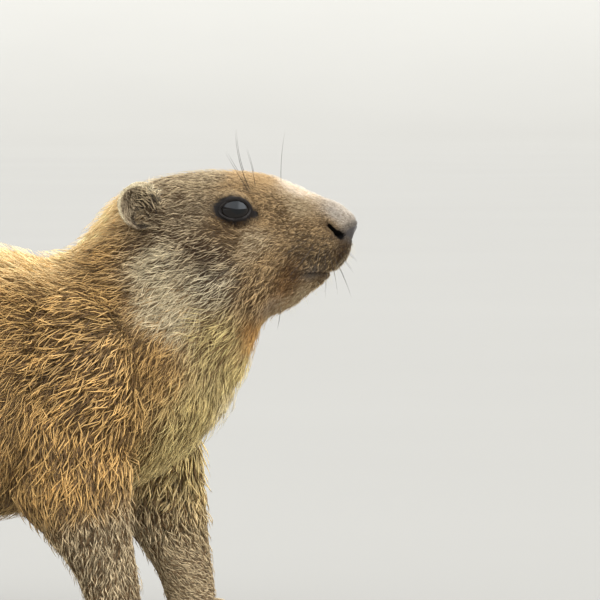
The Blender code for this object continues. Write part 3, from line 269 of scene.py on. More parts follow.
# The coat at named places, in millimetres: place (x, y, z), the way it lies, length of its tufts,
# height of their tips over the skin, pale and dark colour, and the share of pale tufts
COAT = {
    "nose_top": ((146, 3, 179), (-1, 0, 0.3), 2.2, 0.45, "nose_grey", "grey_brown", 0.88),
    "nose_side": ((142, 10, 177), (-1, 0.2, 0.3), 2.2, 0.45, "nose_grey", "grey_brown", 0.84),
    "bridge": ((126, 5, 187), (-1, 0, 0.3), 3.4, 0.6, "pale_grey", "tan", 0.80),
    "bridge_side": ((127, 15, 182), (-1, 0.1, 0), 3.6, 0.6, "sand", "brown", 0.60),
    "forehead": ((110, 8, 193), (-1, 0, 0.1), 4.8, 0.8, "tan", "brown", 0.92),
    "brow": ((106, 21, 188.5), (-1, 0, 0.1), 4.2, 0.7, "tan", "umber", 0.66),
    "crown": ((86, 10, 195), (-1, 0, 0), 6.5, 1.1, "sand", "umber", 0.74),
    "crown_back": ((68, 12, 193), (-1, 0, -0.1), 7.5, 1.5, "sand", "umber", 0.58),
    "temple": ((80, 30, 180), (-1, 0.1, -0.1), 6.0, 1.0, "sand", "umber", 0.39),
    "under_eye": ((97, 28, 172), (-1, 0, -0.25), 4.4, 0.8, "tan", "umber", 0.04),
    "before_eye": ((112, 22, 179), (-1, 0.1, -0.1), 3.2, 0.6, "tan", "umber", 0.48),
    "muzzle_top": ((120, 19, 179), (-1, 0.1, -0.1), 3.4, 0.6, "tan", "umber", 0.10),
    "muzzle": ((129, 18.5, 174), (-1, 0.1, -0.2), 3.2, 0.6, "tan", "umber", 0.22),
    "nostril": ((138, 14, 173.5), (-1, 0.3, -0.3), 2.4, 0.5, "tan", "umber", 0.28),
    "whisker_pad": ((133, 17, 168), (-0.9, 0.2, -0.4), 3.2, 0.7, "tan", "umber", 0.38),
    "lip_front": ((144, 9, 163), (-0.4, 0.2, -0.9), 2.8, 0.6, "brown", "charcoal", 0.30),
    "lip_side": ((135, 16, 159), (-0.7, 0, -0.7), 3.0, 0.6, "tan", "charcoal", 0.06),
    "mouth_corner": ((122, 20, 153), (-0.8, 0, -0.6), 4.8, 0.9, "fox", "umber", 0.30),
    "cheek_front": ((114, 23, 159), (-0.85, 0.1, -0.5), 6.0, 1.1, "tan", "umber", 0.54),
    "cheek_pale": ((108, 26, 168), (-0.9, 0.1, -0.45), 6.5, 1.1, "sand", "brown", 0.46),
    "chin": ((117, 12, 141), (-0.8, 0, -0.5), 4.0, 0.7, "sand", "fox", 0.58),
    "chin_front": ((130, 9, 147), (-0.8, 0, -0.5), 3.6, 0.7, "sand", "brown", 0.60),
    "lower_lip": ((135, 9, 150), (-0.8, 0, -0.5), 2.4, 0.5, "tan", "umber", 0.06),
    "jaw": ((106, 22, 149), (-0.7, 0, -0.7), 8.5, 1.5, "tan", "umber", 0.52),
    "cheek": ((91, 33, 153), (-0.85, 0.1, -0.5), 9.5, 1.6, "cream", "umber", 0.46),
    "cheek_spot": ((91.0, 33, 162), (-0.9, 0.1, -0.4), 8.5, 1.5, "sand", "umber", 0.26),
    "cheek_low": ((74, 33, 141), (-0.8, 0.1, -0.6), 12.0, 2.5, "cream", "tan", 0.88),
    "cheek_back": ((67, 34, 161), (-0.9, 0, -0.4), 9.5, 2.1, "cream", "umber", 0.84),
    "ear_front": ((70, 32, 178), (-1, 0.1, -0.1), 6.0, 1.3, "sand", "umber", 0.28),
    "ear_low": ((59, 34, 169), (-0.9, 0, -0.4), 8.0, 2.2, "tan", "umber", 0.34),
    "throat": ((106, 8, 133), (-0.5, 0, -0.85), 10.0, 1.5, "golden", "fox", 0.72),
    "throat_side": ((92, 22, 134), (-0.7, 0.1, -0.7), 13.0, 2.2, "buff", "brown", 0.66),
    "nape": ((44, 8, 178), (-0.9, 0, -0.2), 10.5, 3.4, "straw", "golden", 1.0),
    "behind_ear": ((46, 28, 166), (-0.95, 0, -0.3), 12.0, 4.0, "golden", "umber", 0.60),
    "neck_side": ((50, 38, 147), (-0.9, 0, -0.45), 12.5, 3.7, "golden", "bark", 0.40),
    "chest_tuft": ((102, 5, 105), (0.5, 0, -0.9), 14.0, 6.0, "cream", "buff", 0.75),
    "neck_front": ((100, 8, 115), (-0.3, 0, -1), 12.0, 3.2, "buff", "brown", 0.80),
    "breast": ((84, 18, 95), (-0.3, 0, -1), 13.0, 4.2, "buff", "bark", 0.68),
    "neck_low": ((66, 38, 124), (-0.7, 0, -0.7), 12.5, 3.4, "golden", "bark", 0.50),
    "withers": ((20, 8, 161), (-1, 0, 0), 14.0, 5.0, "straw", "golden", 0.62),
    "shoulder": ((22, 45, 134), (-0.85, 0, -0.45), 13.0, 4.6, "golden", "bark", 0.46),
    "shoulder_low": ((44, 42, 104), (-0.7, 0, -0.65), 12.5, 4.3, "golden", "bark", 0.48),
    "back": ((-40, 18, 172), (-1, 0, 0), 17.0, 5.2, "golden", "bark", 0.34),
    "ribs": ((-30, 64, 120), (-0.9, 0, -0.45), 17.0, 5.6, "golden", "bark", 0.52),
    "flank": ((-90, 78, 110), (-0.9, 0, -0.45), 20.0, 4.7, "golden", "bark", 0.52),
    "belly": ((-90, 20, 40), (-0.95, 0, -0.1), 18.0, 4.6, "golden", "brown", 0.62),
    "loin": ((-125, 22, 176), (-1, 0, -0.1), 21.0, 6.0, "sand", "bark", 0.50),
    "haunch": ((-180, 60, 120), (-0.85, 0, -0.6), 20.0, 5.8, "golden", "bark", 0.52),
    "rump": ((-228, 18, 112), (-0.7, 0, -0.75), 22.0, 6.0, "fox", "umber", 0.55),
    "foreleg": ((32, 56, 80), (-0.15, 0, -1), 13.0, 3.2, "golden", "brown", 0.58),
    "forearm": ((46, 50, 40), (0, 0, -1), 8.0, 1.6, "sand", "brown", 0.62),
    "forefoot": ((68, 42, 10), (1, 0, -0.3), 4.6, 0.7, "sand", "brown", 0.66),
    "thigh": ((-160, 82, 80), (-0.5, 0, -0.85), 16.0, 4.2, "golden", "bark", 0.52),
    "shank": ((-182, 60, 36), (-0.3, 0, -1), 9.0, 1.8, "sand", "brown", 0.60),
    "hindfoot": ((-165, 55, 11), (1, 0, -0.3), 4.8, 0.7, "sand", "brown", 0.64),
    "tail_root": ((-250, 0, 88), (-0.85, 0.1, -0.5), 25.0, 8.0, "fox", "umber", 0.50),
    "tail_middle": ((-310, 6, 54), (-0.88, 0.14, -0.45), 29.0, 9.0, "brown", "charcoal", 0.50),
    "tail_tip": ((-370, 17, 33), (-0.9, 0.2, -0.15), 24.0, 6.5, "charcoal", "black", 0.40),
}
# How wide round each named place its values hold, in millimetres
GUIDE_CORE = 3.0

# Tufts by their longest length: share of the length, of the height and of the width of their rings
TUFTS = {
    "short": (0.0085, ((0.42, 0.72, 1.0),)),
    "long": (1.0, ((0.34, 0.52, 1.0), (0.70, 0.88, 0.80))),
}
# Most triangles of one piece of the coat
MOST_TRIANGLES = 190000
# Least height of the pieces over the floor
FLOOR_GAP = 0.0002
# Tufts in a hollow with a thin wall: least likeness of the ways out, how fast they rise instead, and
# the longest of them
SAME_SIDE, HOLLOW_CURVE, HOLLOW_LENGTH = -0.2, 60.0, 0.0085
# A tuft's patch on the unwrap, and how deep its root is set in the skin
TUFT_PATCH, ROOT_DEPTH = 0.003, 0.0004

# Marks of the coat, of which nostril and nose_front are painted shade: place in the side view (x, z) and
# reach along and across in millimetres, the turn of the longer way up from the front in degrees, colour and
# strength
MARKS = {
    "cheek_spot_high": ((89.4, 161.4), (3.4, 2.0), 20, "umber", 0.85),
    "cheek_spot_low": ((91.0, 157.0), (2.6, 2.2), 0, "umber", 0.85),
    "cheek_streak": ((86.5, 167.0), (4.0, 1.3), 25, "umber", 0.50),
    "mouth_corner": ((124.6, 159.4), (6.0, 5.0), 40, "umber", 0.42),
    "under_eye": ((96.6, 173.4), (8.0, 2.2), 12, "umber", 0.62),
    "brow_root": ((105.9, 187.6), (6.0, 1.1), 110, "umber", 0.62),
    # Painted shade: a soft dark patch at the upper back end of the nostril
    "nostril": ((137.6, 174.9), (2.4, 1.4), -40, "umber", 0.62),
    # Painted shade: the front of the nose bulb is darkened against the light that falls on it
    "nose_front": ((149.4, 173.4), (3.2, 4.6), 0, "charcoal", 0.42),
    "nose_grey": ((141.5, 178.6), (4.6, 2.0), -35, "slate", 0.20),
    "lip_lobe": ((142.6, 162.5), (5.0, 2.6), 70, "umber", 0.55),
    "lobe_edge": ((143.4, 159.0), (4.2, 0.55), 56, "sand", 0.65),
    "lip": ((131.4, 154.6), (4.4, 2.6), 20, "slate", 0.55),
    "lip_under": ((136.4, 151.6), (2.4, 1.8), 40, "charcoal", 0.35),
    "chin_rust": ((119.0, 147.0), (5.0, 2.0), 35, "rust", 0.22),
    "chin_bare": ((114.5, 141.8), (6.0, 3.0), 35, "chin", 0.50),
    "throat": ((106.2, 134.0), (4.4, 3.4), 90, "rust", 0.74),
    "ear_edge": ((66.8, 182.6), (1.6, 4.2), 15, "umber", 0.70),
    "below_ear": ((66.0, 167.5), (4.8, 2.2), 120, "umber", 0.45),
    "brow_pale": ((97.5, 187.6), (5.0, 1.0), 8, "sand", 0.40),
    "behind_cheek": ((59.0, 152.0), (6.0, 3.0), 50, "umber", 0.18),
    "temple": ((83.0, 180.0), (5.0, 4.0), 0, "umber", 0.22),
    "nape": ((41.0, 168.0), (12.0, 6.0), 60, "straw", 0.40),
    "neck": ((39.5, 135.5), (6.5, 4.0), 60, "umber", 0.35),
    "shoulder": ((26.0, 115.0), (15.0, 2.6), 24, "umber", 0.50),
}
# Dark dots where the whiskers grow: rows, dots in a row, first dot, steps along and between, and size
DOT_ROWS, DOTS, DOT_START = 4, 6, (139.5, 168.5)
DOT_STEP, ROW_STEP, DOT_SIZE = (-2.7, 0.35), (-0.6, -2.4), 0.85

# Islands of the unwrap: corner and size of each form of the skin
ISLANDS = {
    "trunk": (0.01, 0.01, 0.64, 0.68),
    "thigh_right": (0.66, 0.01, 0.16, 0.26),
    "thigh_left": (0.83, 0.01, 0.16, 0.26),
    "arm_right": (0.66, 0.28, 0.16, 0.20),
    "arm_left": (0.83, 0.28, 0.16, 0.20),
    "shank_right": (0.66, 0.49, 0.16, 0.12),
    "shank_left": (0.83, 0.49, 0.16, 0.12),
    "forearm_right": (0.66, 0.62, 0.16, 0.12),
    "forearm_left": (0.83, 0.62, 0.16, 0.12),
    "tail": (0.01, 0.71, 0.26, 0.27),
    "ear_right": (0.28, 0.71, 0.10, 0.13),
    "ear_left": (0.28, 0.85, 0.10, 0.13),
}
FOOT_ISLANDS, FOOT_CELL, FOOT_COLUMNS = (0.40, 0.76), (0.084, 0.056), 7

# Whiskers: root in the side view (x, z), the way they point on the left, how they bend, their length
# and radius
WHISKERS = (
    ((0.1050, 0.1890), (-0.42, 0.25, 0.86), (0.42, 0.0, 0.0), 0.0300, 0.00013),
    ((0.1046, 0.1880), (-0.50, 0.22, 0.84), (0.0, 0.0, 0.0), 0.0210, 0.00012),
    ((0.1072, 0.1905), (-0.10, 0.25, 0.95), (-0.25, 0.0, 0.0), 0.0175, 0.00010),
    ((0.1180, 0.1915), (-0.05, 0.15, 0.98), (0.25, 0.0, 0.0), 0.0240, 0.00008),
    ((0.1400, 0.1610), (0.45, 0.45, -0.77), (-0.10, 0.0, -0.25), 0.0200, 0.00010),
    ((0.1420, 0.1625), (0.60, 0.40, -0.68), (0.0, 0.0, -0.20), 0.0120, 0.00008),
    ((0.1440, 0.1640), (0.75, 0.30, -0.55), (0.0, 0.0, -0.20), 0.0090, 0.00007),
    ((0.1380, 0.1622), (0.30, 0.55, -0.75), (-0.20, 0.0, -0.25), 0.0200, 0.00010),
    ((0.1360, 0.1635), (0.15, 0.70, -0.68), (-0.25, 0.0, -0.25), 0.0250, 0.00011),
    ((0.1345, 0.1655), (-0.05, 0.80, -0.58), (-0.35, 0.0, -0.25), 0.0240, 0.00008),
    ((0.1320, 0.1665), (-0.25, 0.85, -0.45), (-0.45, 0.0, -0.25), 0.0300, 0.00012),
    ((0.1300, 0.1690), (-0.40, 0.85, -0.30), (-0.50, 0.0, -0.25), 0.0260, 0.00010),
    ((0.1180, 0.1400), (-0.05, 0.20, -0.97), (-0.20, 0.0, -0.10), 0.0110, 0.00010),
    ((0.0960, 0.1560), (-0.50, 0.75, -0.40), (-0.50, 0.0, -0.30), 0.0200, 0.00010),
)
WHISKER_POINTS, WHISKER_SIDES, BRISTLE_SIDES = 9, 5, 4
# Fine pale bristles round the lips and the chin: how many, least and most length, and radius
BRISTLES, BRISTLE_LENGTHS, BRISTLE_RADIUS = 170, (0.0022, 0.0062), 0.000045

# Photograph's framing: width of the picture at the animal, and its centre in design coordinates
PICTURE_WIDTH = 0.252
PICTURE_CENTRE = (0.1260, -0.0200, 0.1428)
# Width of the camera's sensor in millimetres, and the height at which the backdrop has its own colour
SENSOR_WIDTH, BACKDROP_HEIGHT = 36.0, 1.5
# The studio floor: radii of its rings, radius of the curve at its edge, and sides
FLOOR_RINGS, COVE_RADIUS, FLOOR_SIDES = (0.3, 1.0, 3.0, 8.0, 16.0), 4.0, 96
# Each light of the world as forms that are multiplied: a direction, the likenesses to it between which
# the form changes, and its values there. The last form's values are multiples of the light's strength.
LIGHTS = {
    "window": (
        ((0.16, 0, 0.99), (0.13, 0.21), (0, 1)),
        ((0, 0, 1), (0.80, 0.96), (1, 0)),
        ((1.0, 0, 0), (0.25, 0.60), (0.90, 1.8)),
        ((0.10, -1.0, 0), (0.0, 0.40), (0, 1)),
    ),
    "top": (((-0.05, 0.42, 0.91), (0.80, 0.94), (0, 1)),),
    "sky": (((0, 0, 1), (-0.2, 0.8), (0.7, 1.2)),),
}
LIGHT_TINT = (0.97, 0.985, 1.0, 1.0)


def colour(name, description, rgb):
    """A colour that the user can change, given as eight-bit values."""
    default = [value / 255 for value in rgb]
    return FloatVectorProperty(
        name=name, description=description, subtype="COLOR_GAMMA", size=3, min=0, max=1, default=default
    )


def number(name, description, default, **settings):
    """A number that the user can change."""
    return FloatProperty(name=name, description=description, default=default, **settings)


class MarmotColours(PropertyGroup):
    """Colours of the coat and the bare skin."""

    cream: colour("Cream", "Palest tufts of the cheeks, chest and ears", (224, 208, 172))
    pale_grey: colour("Pale grey", "Tufts on the bridge of the nose", (240, 227, 208))
    straw: colour("Straw", "Pale gold of the nape and the withers", (252, 220, 162))
    buff: colour("Buff", "Pale tufts of the chest", (232, 208, 142))
    golden: colour("Golden", "Golden tips of the neck and the body", (212, 170, 104))
    sand: colour("Sand", "Pale band of grizzled tufts", (206, 184, 146))
    tan: colour("Tan", "Forehead and muzzle", (210, 176, 126))
    fox: colour("Fox", "Orange-brown of mouth corner, throat and rump", (166, 126, 80))
    nose_grey: colour("Nose grey", "Short fur on the tip of the nose", (212, 200, 184))
    ear_grey: colour("Ear grey", "Pale tips of the hair in the ears", (178, 160, 130))
    grey_brown: colour("Grey brown", "Dark tufts on the tip of the nose", (122, 106, 84))
    brown: colour("Brown", "Mid brown under the pale tips", (120, 94, 62))
    bark: colour("Bark", "Dark tufts of the body", (100, 74, 42))
    umber: colour("Umber", "Dark tufts of the coat", (78, 56, 32))
    charcoal: colour("Charcoal", "Darkest tufts of the face and tail", (46, 36, 28))
    # Black is the tail tip's own colour; on the mouth line and in the nostrils it is painted shade
    black: colour("Black", "Mouth line, nostrils and the tip of the tail", (26, 23, 22))
    rim: colour("Bare rim", "Bare skin round the eye", (33, 29, 27))
    lip: colour("Lip", "Bare skin of the lips", (62, 55, 54))
    slate: colour("Slate", "Bluish grey beside the mouth and on the nose", (122, 118, 114))
    chin: colour("Chin", "Thinly haired skin of the chin", (154, 132, 112))
    rust: colour("Rust", "Reddish gold of the chin and throat", (184, 132, 70))
    sole: colour("Sole", "Bare skin under the feet", (70, 60, 54))
    floor: colour("Floor", "Floor", (148, 146, 141))
    backdrop: colour("Backdrop", "Backdrop behind the floor", (198, 196, 190))


class MarmotSkin(PropertyGroup):
    """Fineness and relief of the skin."""

    sides: IntProperty(name="Sides", description="Points round the trunk", default=196, min=24)
    lid_height: number("Lid height", "How far the lids stand over the eyeball", 0.0011, unit="LENGTH")
    leg_step: number("Leg step", "Spacing of the rings of legs and tail", 0.0022, unit="LENGTH")


class MarmotCoat(PropertyGroup):
    """Fineness and lie of the coat."""

    cover: number("Cover", "How many tufts lie over each point of the skin", 4.3, min=0.1)
    width: number("Width", "Width of the shortest tufts", 0.00019, unit="LENGTH", precision=5)
    widening: number("Widening", "Width that a tuft gains with its length", 0.0080)
    coarseness: number("Coarseness", "How much wider tufts are on rump, limbs and ears", 2.0)
    far_side: number("Far side", "How much wider tufts are on the left side", 1.35)
    flatness: number("Flatness", "A tuft's thickness as a share of its width", 0.45)
    gather: number("Gather", "How far the tips of long tufts are drawn together", 0.42, min=0, max=1)
    lock: IntProperty(name="Lock", description="Tufts in a lock", default=10, min=1)
    stray: number("Stray", "Spread of the way that the shortest tufts lie", 0.20, subtype="ANGLE")
    straying: number("Straying", "Spread that a tuft gains for each metre of its length", 9.0)
    wave: number("Wave", "Sideways wave as a share of a tuft's length", 0.07)
    fuzz: number("Fuzz", "Share of pale tufts that stand out of the coat", 0.07, min=0, max=1)
    fuzz_rise: number("Fuzz rise", "Most that those stand out over the coat", 0.0022, unit="LENGTH")
    seed: IntProperty(name="Seed", description="Seed of the coat's variation", default=11)


class MarmotStage(PropertyGroup):
    """Camera and light."""

    distance: number("Camera distance", "From the camera to the animal", 3.0, unit="LENGTH")
    elevation: number("Elevation", "Height of the view over the horizon", math.radians(2), subtype="ANGLE")
    sky: number("Sky", "Strength of the light all round", 0.50)
    window: number("Window", "Strength of the wide light over the camera", 2.6)
    top: number("Top light", "Strength of the light from above the back", 4.3)


def linear(rgb):
    """A screen colour as light."""
    rgb = np.asarray(rgb, float)
    return np.where(rgb <= 0.04045, rgb / 12.92, ((rgb + 0.055) / 1.055) ** 2.4)


def paint(name):
    """One of the marmot's colours as light."""
    return linear(getattr(bpy.context.scene.marmot_colours, name)[:])


def shift():
    """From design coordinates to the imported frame, read from the right eye's solid."""
    low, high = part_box("eye_right")
    return np.array((low + high) / 2) - np.array(EYE_PLACE) * (1, -1, 1)


SHIFT = shift()


def through(knots, rows, places):
    """Rows read at the given places from a smooth curve through the rows at the knots."""
    knots, rows, places = (np.asarray(a, float) for a in (knots, rows, places))
    step = np.diff(knots)
    slope = np.diff(rows, axis=0) / step[:, None]
    tangent = np.empty_like(rows)
    tangent[0], tangent[-1] = slope[0], slope[-1]
    before, after = step[:-1, None], step[1:, None]
    tangent[1:-1] = (slope[:-1] * after + slope[1:] * before) / (before + after)
    i = np.clip(np.searchsorted(knots, places, "right") - 1, 0, len(knots) - 2)
    s = ((places - knots[i]) / step[i])[..., None]
    h = step[i][..., None]
    return (
        rows[i] * (2 * s**3 - 3 * s**2 + 1)
        + rows[i + 1] * (3 * s**2 - 2 * s**3)
        + tangent[i] * h * (s**3 - 2 * s**2 + s)
        + tangent[i + 1] * h * (s**3 - s**2)
    )


TRUNK_ROWS = np.array(list(TRUNK.values()))
MIDDLES = (TRUNK_ROWS[:, 0:2] + TRUNK_ROWS[:, 2:4]) / 2
ALONG = np.concatenate([[0], np.cumsum(np.linalg.norm(np.diff(MIDDLES, axis=0), axis=1))])
PLACE = dict(zip(TRUNK, ALONG))


def unit(vectors):
    return vectors / (np.linalg.norm(vectors, axis=-1, keepdims=True) + 1e-12)


def power(value, exponent):
    return np.sign(value) * np.abs(value) ** exponent


def trunk_point(along, turn):
    """Points of the plain trunk. A turn of 0 is the top, and it grows to the left."""
    rows = through(ALONG, TRUNK_ROWS, along)
    top, low = rows[..., 0:2], rows[..., 2:4]
    width, widest, square = rows[..., 4], rows[..., 5], rows[..., 6]
    middle = top + (low - top) * widest[..., None]
    height = np.linalg.norm(top - low, axis=-1)
    up = (top - low) / height[..., None]
    rise = power(np.cos(turn), 2 / square)
    rise = rise * height * np.where(rise > 0, widest, 1 - widest)
    side = power(np.sin(turn), 2 / square) * width
    spot = middle + up * rise[..., None]
    return np.stack([spot[..., 0], side, spot[..., 1]], axis=-1)


def mirrored(points):
    """The points brought to the animal's left side."""
    return points * [1, 0, 1] + np.abs(points) * [0, 1, 0]


def swell(points):
    """How far the head's soft forms lift each point."""
    lift = np.zeros(points.shape[:-1])
    for place, reach, height in FORMS.values():
        lift += height * np.exp(-((mirrored(points) - place) ** 2).sum(-1) / reach**2)
    return lift


def trunk_skin(along, turn):
    """Points of the trunk's skin, and the way out of them."""
    along, turn = np.broadcast_arrays(np.asarray(along, float), np.asarray(turn, float))
    near, small = 0.0004, 0.01
    plain = trunk_point(along, turn)
    down = trunk_point(np.clip(along + near, 0, ALONG[-1]), turn)
    down = down - trunk_point(np.clip(along - near, 0, ALONG[-1]), turn)
    across = trunk_point(along, turn + small) - trunk_point(along, turn - small)
    normal = unit(np.cross(across, down))
    depth = np.interp(along, [PLACE[name] for name in SKIN_DEPTH], list(SKIN_DEPTH.values()))
    return plain + normal * (swell(plain) - depth)[..., None], normal


def limb_knots(rows):
    """Distance of each of a limb's rows from its first, along its middle line."""
    steps = np.linalg.norm(np.diff(np.asarray(rows, float)[:, :3], axis=0), axis=1)
    return np.concatenate([[0], np.cumsum(steps)])


def limb_grid(rows, spacing, sides, lift=0.0):
    """Rings of points of a limb along rows of x, y, z, fore-and-aft radius and side radius."""
    knots = limb_knots(rows)
    places = np.linspace(0, knots[-1], max(4, round(knots[-1] / spacing) + 1))[:, None]
    turn = np.linspace(0, 2 * math.pi, sides, endpoint=False)[None, :]
    place, turn = np.broadcast_arrays(places, turn)
    near = knots[-1] * 0.02
    found = through(knots, rows, place)
    after = through(knots, rows, np.minimum(place + near, knots[-1]))
    before = through(knots, rows, np.maximum(place - near, 0))
    tangent = unit(after[..., :3] - before[..., :3])
    side = unit(np.array([0.0, 1.0, 0.0]) - tangent * tangent[..., 1:2])
    front = np.cross(side, tangent)
    radii = np.maximum(found[..., 3:5] + lift, 0.0002)
    return (
        found[..., :3]
        + front * (radii[..., 0] * np.cos(turn))[..., None]
        + side * (radii[..., 1] * np.sin(turn))[..., None]
    )


def new_mesh(name, verts, triangles, uvs=None, colours=None):
    """A smooth mesh from arrays, facing outwards, with corner coordinates and point colours."""
    a, b, c = (verts[triangles[:, i]] for i in range(3))
    if (np.cross(a, b) * c).sum() < 0:
        triangles = triangles[:, ::-1]
        uvs = uvs if uvs is None else uvs.reshape(-1, 3, 2)[:, ::-1]
    mesh = bpy.data.meshes.new(name)
    mesh.vertices.add(len(verts))
    mesh.vertices.foreach_set("co", np.ascontiguousarray(verts, np.float32).ravel())
    mesh.loops.add(len(triangles) * 3)
    mesh.loops.foreach_set("vertex_index", np.ascontiguousarray(triangles, np.int32).ravel())
    mesh.polygons.add(len(triangles))
    mesh.polygons.foreach_set("loop_start", np.arange(0, len(triangles) * 3, 3, dtype=np.int32))
    mesh.update(calc_edges=True)
    mesh.polygons.foreach_set("use_smooth", np.ones(len(triangles), bool))
    if uvs is not None:
        layer = mesh.uv_layers.new(name="OFBake")
        layer.data.foreach_set("uv", np.ascontiguousarray(uvs, np.float32).ravel())
    if colours is not None:
        set_colours(mesh, colours)
    return mesh


def set_colours(mesh, colours):
    layer = mesh.color_attributes.new("markings", "FLOAT_COLOR", "POINT")
    rgba = np.concatenate([colours, np.ones((len(colours), 1))], axis=1).astype(np.float32)
    layer.data.foreach_set("color", np.ascontiguousarray(rgba).ravel())


def values_of(items, name, columns, kind=np.float32):
    """One property of all the items, as rows of an array."""
    values = np.empty(len(items) * columns, kind)
    items.foreach_get(name, values)
    return values.reshape(-1, columns)


def places_of(mesh):
    return values_of(mesh.vertices, "co", 3).astype(float)


def move_to(mesh, spots):
    """Gives the mesh's points new places."""
    mesh.vertices.foreach_set("co", spots.astype(np.float32).ravel())
    mesh.update()


def new_object(name, mesh):
    obj = bpy.data.objects.new(name, mesh)
    bpy.context.scene.collection.objects.link(obj)
    return obj


def tube_mesh(name, grid, island=None, looped=False):
    """A closed mesh from rings of points, unwrapped along and round, with a fan at each end."""
    rings, sides = grid.shape[:2]
    r, s = np.meshgrid(np.arange(rings if looped else rings - 1), np.arange(sides), indexing="ij")
    r, s = r.ravel(), s.ravel()
    corners = [(r, s), (r, s + 1), (r + 1, s + 1), (r + 1, s)]
    ids = [(i % rings) * sides + j % sides for i, j in corners]
    triangles = np.stack([ids[0], ids[1], ids[2], ids[0], ids[2], ids[3]], axis=1).reshape(-1, 3)
    marks = [np.stack([i / (rings + 1) + 1 / (rings + 1), j / sides], axis=1) for i, j in corners]
    uvs = np.stack([marks[k] for k in (0, 1, 2, 0, 2, 3)], axis=1).reshape(-1, 2)
    verts = grid.reshape(-1, 3)
    if not looped:
        step = np.arange(sides)
        first = (0, grid[0], 1 / (rings + 1), 0.0)
        last = ((rings - 1) * sides, grid[-1], rings / (rings + 1), 1.0)
        for base, ring, edge, tip in (first, last):
            pole = np.full(sides, len(verts))
            verts = np.concatenate([verts, ring.mean(axis=0)[None]])
            order = [step, (step + 1) % sides, pole]
            spots = [(edge, step / sides), (edge, (step + 1) / sides), (tip, (step + 0.5) / sides)]
            if base == 0:
                order[0], order[1] = order[1], order[0]
                spots[0], spots[1] = spots[1], spots[0]
            fan = np.stack([order[0] + base, order[1] + base, order[2]], axis=1)
            triangles = np.concatenate([triangles, fan])
            fan_uvs = np.stack([np.stack([np.full(sides, u), v], axis=1) for u, v in spots], axis=1)
            uvs = np.concatenate([uvs, fan_uvs.reshape(-1, 2)])
    if island is not None:
        uvs = np.array(island[:2]) + uvs * np.array(island[2:])
    return new_mesh(name, verts, triangles, uvs)


def look_frame(look, side):
    """Axes of something that looks out of the head, as columns: forward, up and out."""
    out = unit(np.array(look) * (1, side, 1))
    up = unit(np.array((0, 0, 1.0)) - out * out[2])
    return np.stack([np.cross(out, up) * side, up, out], axis=1)


def in_frame(points, place, look, side):
    """The points seen from the eye's or ear's own place: forward, up and out."""
    return (points - np.array(place) * (1, side, 1)) @ look_frame(look, side)


def slanted(local, centre, slant):
    """Places round the eye as length towards the nose and height, along a slant down to the nose."""
    x, y = local[..., 0] - centre[0], local[..., 1] - centre[1]
    return x * math.cos(slant) - y * math.sin(slant), x * math.sin(slant) + y * math.cos(slant)


def lid_level(local):
    """1 on the edge of the open lids, less inside and more outside."""
    length, height = slanted(local, LID_CENTRE, LID_SLANT)
    reach = np.where(length > 0, LID_FRONT, LID_BACK)
    return np.sqrt((length / reach) ** 2 + (np.abs(height) / LID_HEIGHT) ** 1.7)


def rim_level(local):
    """1 on the outer edge of the bare rim, less inside and more outside."""
    length, height = slanted(local, RIM_CENTRE, RIM_SLANT)
    return np.sqrt((np.abs(length) / RIM_LENGTH) ** 1.7 + (np.abs(height) / RIM_RISE) ** 2)


def blend(low, high, value):
    """0 below the low value and 1 above the high one, smoothly."""
    share = np.clip((value - low) / (high - low), 0, 1)
    return share * share * (3 - 2 * share)


def path_distance(points, path):
    """Distance of each point from a path of many points."""
    nearest = np.full(len(points), 1.0)
    for a, b in zip(path[:-1], path[1:]):
        along = np.clip((points - a) @ (b - a) / ((b - a) @ (b - a) + 1e-12), 0, 1)
        nearest = np.minimum(nearest, np.linalg.norm(points - a - along[:, None] * (b - a), axis=1))
    return nearest


class Face:
    """Paths of the mouth and the nostrils on the plain skin."""

    mouth = None
    nostril = None


def find_face(tree):
    """Lays the mouth line and a nostril on the left side of the plain skin."""
    turns, heights = zip(*MOUTH)
    path = []
    for turn in np.linspace(-turns[-1], turns[-1], MOUTH_POINTS):
        height = through(turns, np.array(heights)[:, None], np.array([abs(turn)]))[0, 0]
        outward = Vector((math.cos(math.radians(turn)), math.sin(math.radians(turn)), 0))
        start = Vector((MOUTH_CENTRE_X, 0, height)) + outward * 0.1
        path.append(tree.ray_cast(start, -outward)[0])
    Face.mouth = np.array(path)
    hits = [tree.ray_cast(Vector((x, 0.2, z)), Vector((0, -1, 0)))[0] for x, z in NOSTRIL]
    Face.nostril = np.array(hits)


def nostril_distance(points):
    """Distance of each point from the nostril in the side view, which is wider at its front."""
    flat, path = points[:, [0, 2]], Face.nostril[:, [0, 2]]
    inward = np.maximum(Face.nostril[:, 1].min() - NOSTRIL_INWARD - points[:, 1], 0)
    narrow = np.minimum(path_distance(flat, path), path_distance(flat, path[-2:]) * NOSTRIL_FLARE)
    return np.hypot(narrow, inward)


def open_eye(points):
    """Folds the skin round each eyeball into lids, and takes it behind the eyeball inside them."""
    height = bpy.context.scene.marmot_skin.lid_height
    for side, _ in BOTH:
        axes = look_frame(EYE_LOOK, side)
        local = in_frame(points, EYE_PLACE, EYE_LOOK, side)
        level = lid_level(local)
        close = (level < FOLD_REACH) & (local[:, 2] > 0)
        here, edge = local[close], level[close]
        flat = (here[:, :2] ** 2).sum(axis=1)
        ball = np.sqrt(np.maximum(EYE_RADIUS**2 - flat, (0.25 * EYE_RADIUS) ** 2))
        lid = ball + height * np.exp(-(((edge - FOLD_LEVEL) / FOLD_WIDTH) ** 2)) + LID_GAP
        share = blend(2.5, 1.40, edge)
        out = here[:, 2] * (1 - share) + lid * share
        here[:, 2] = np.where(edge < 0.96, ball - BEHIND_LIDS, out)
        points[close] = here @ axes.T + np.array(EYE_PLACE) * (1, side, 1)
    return points


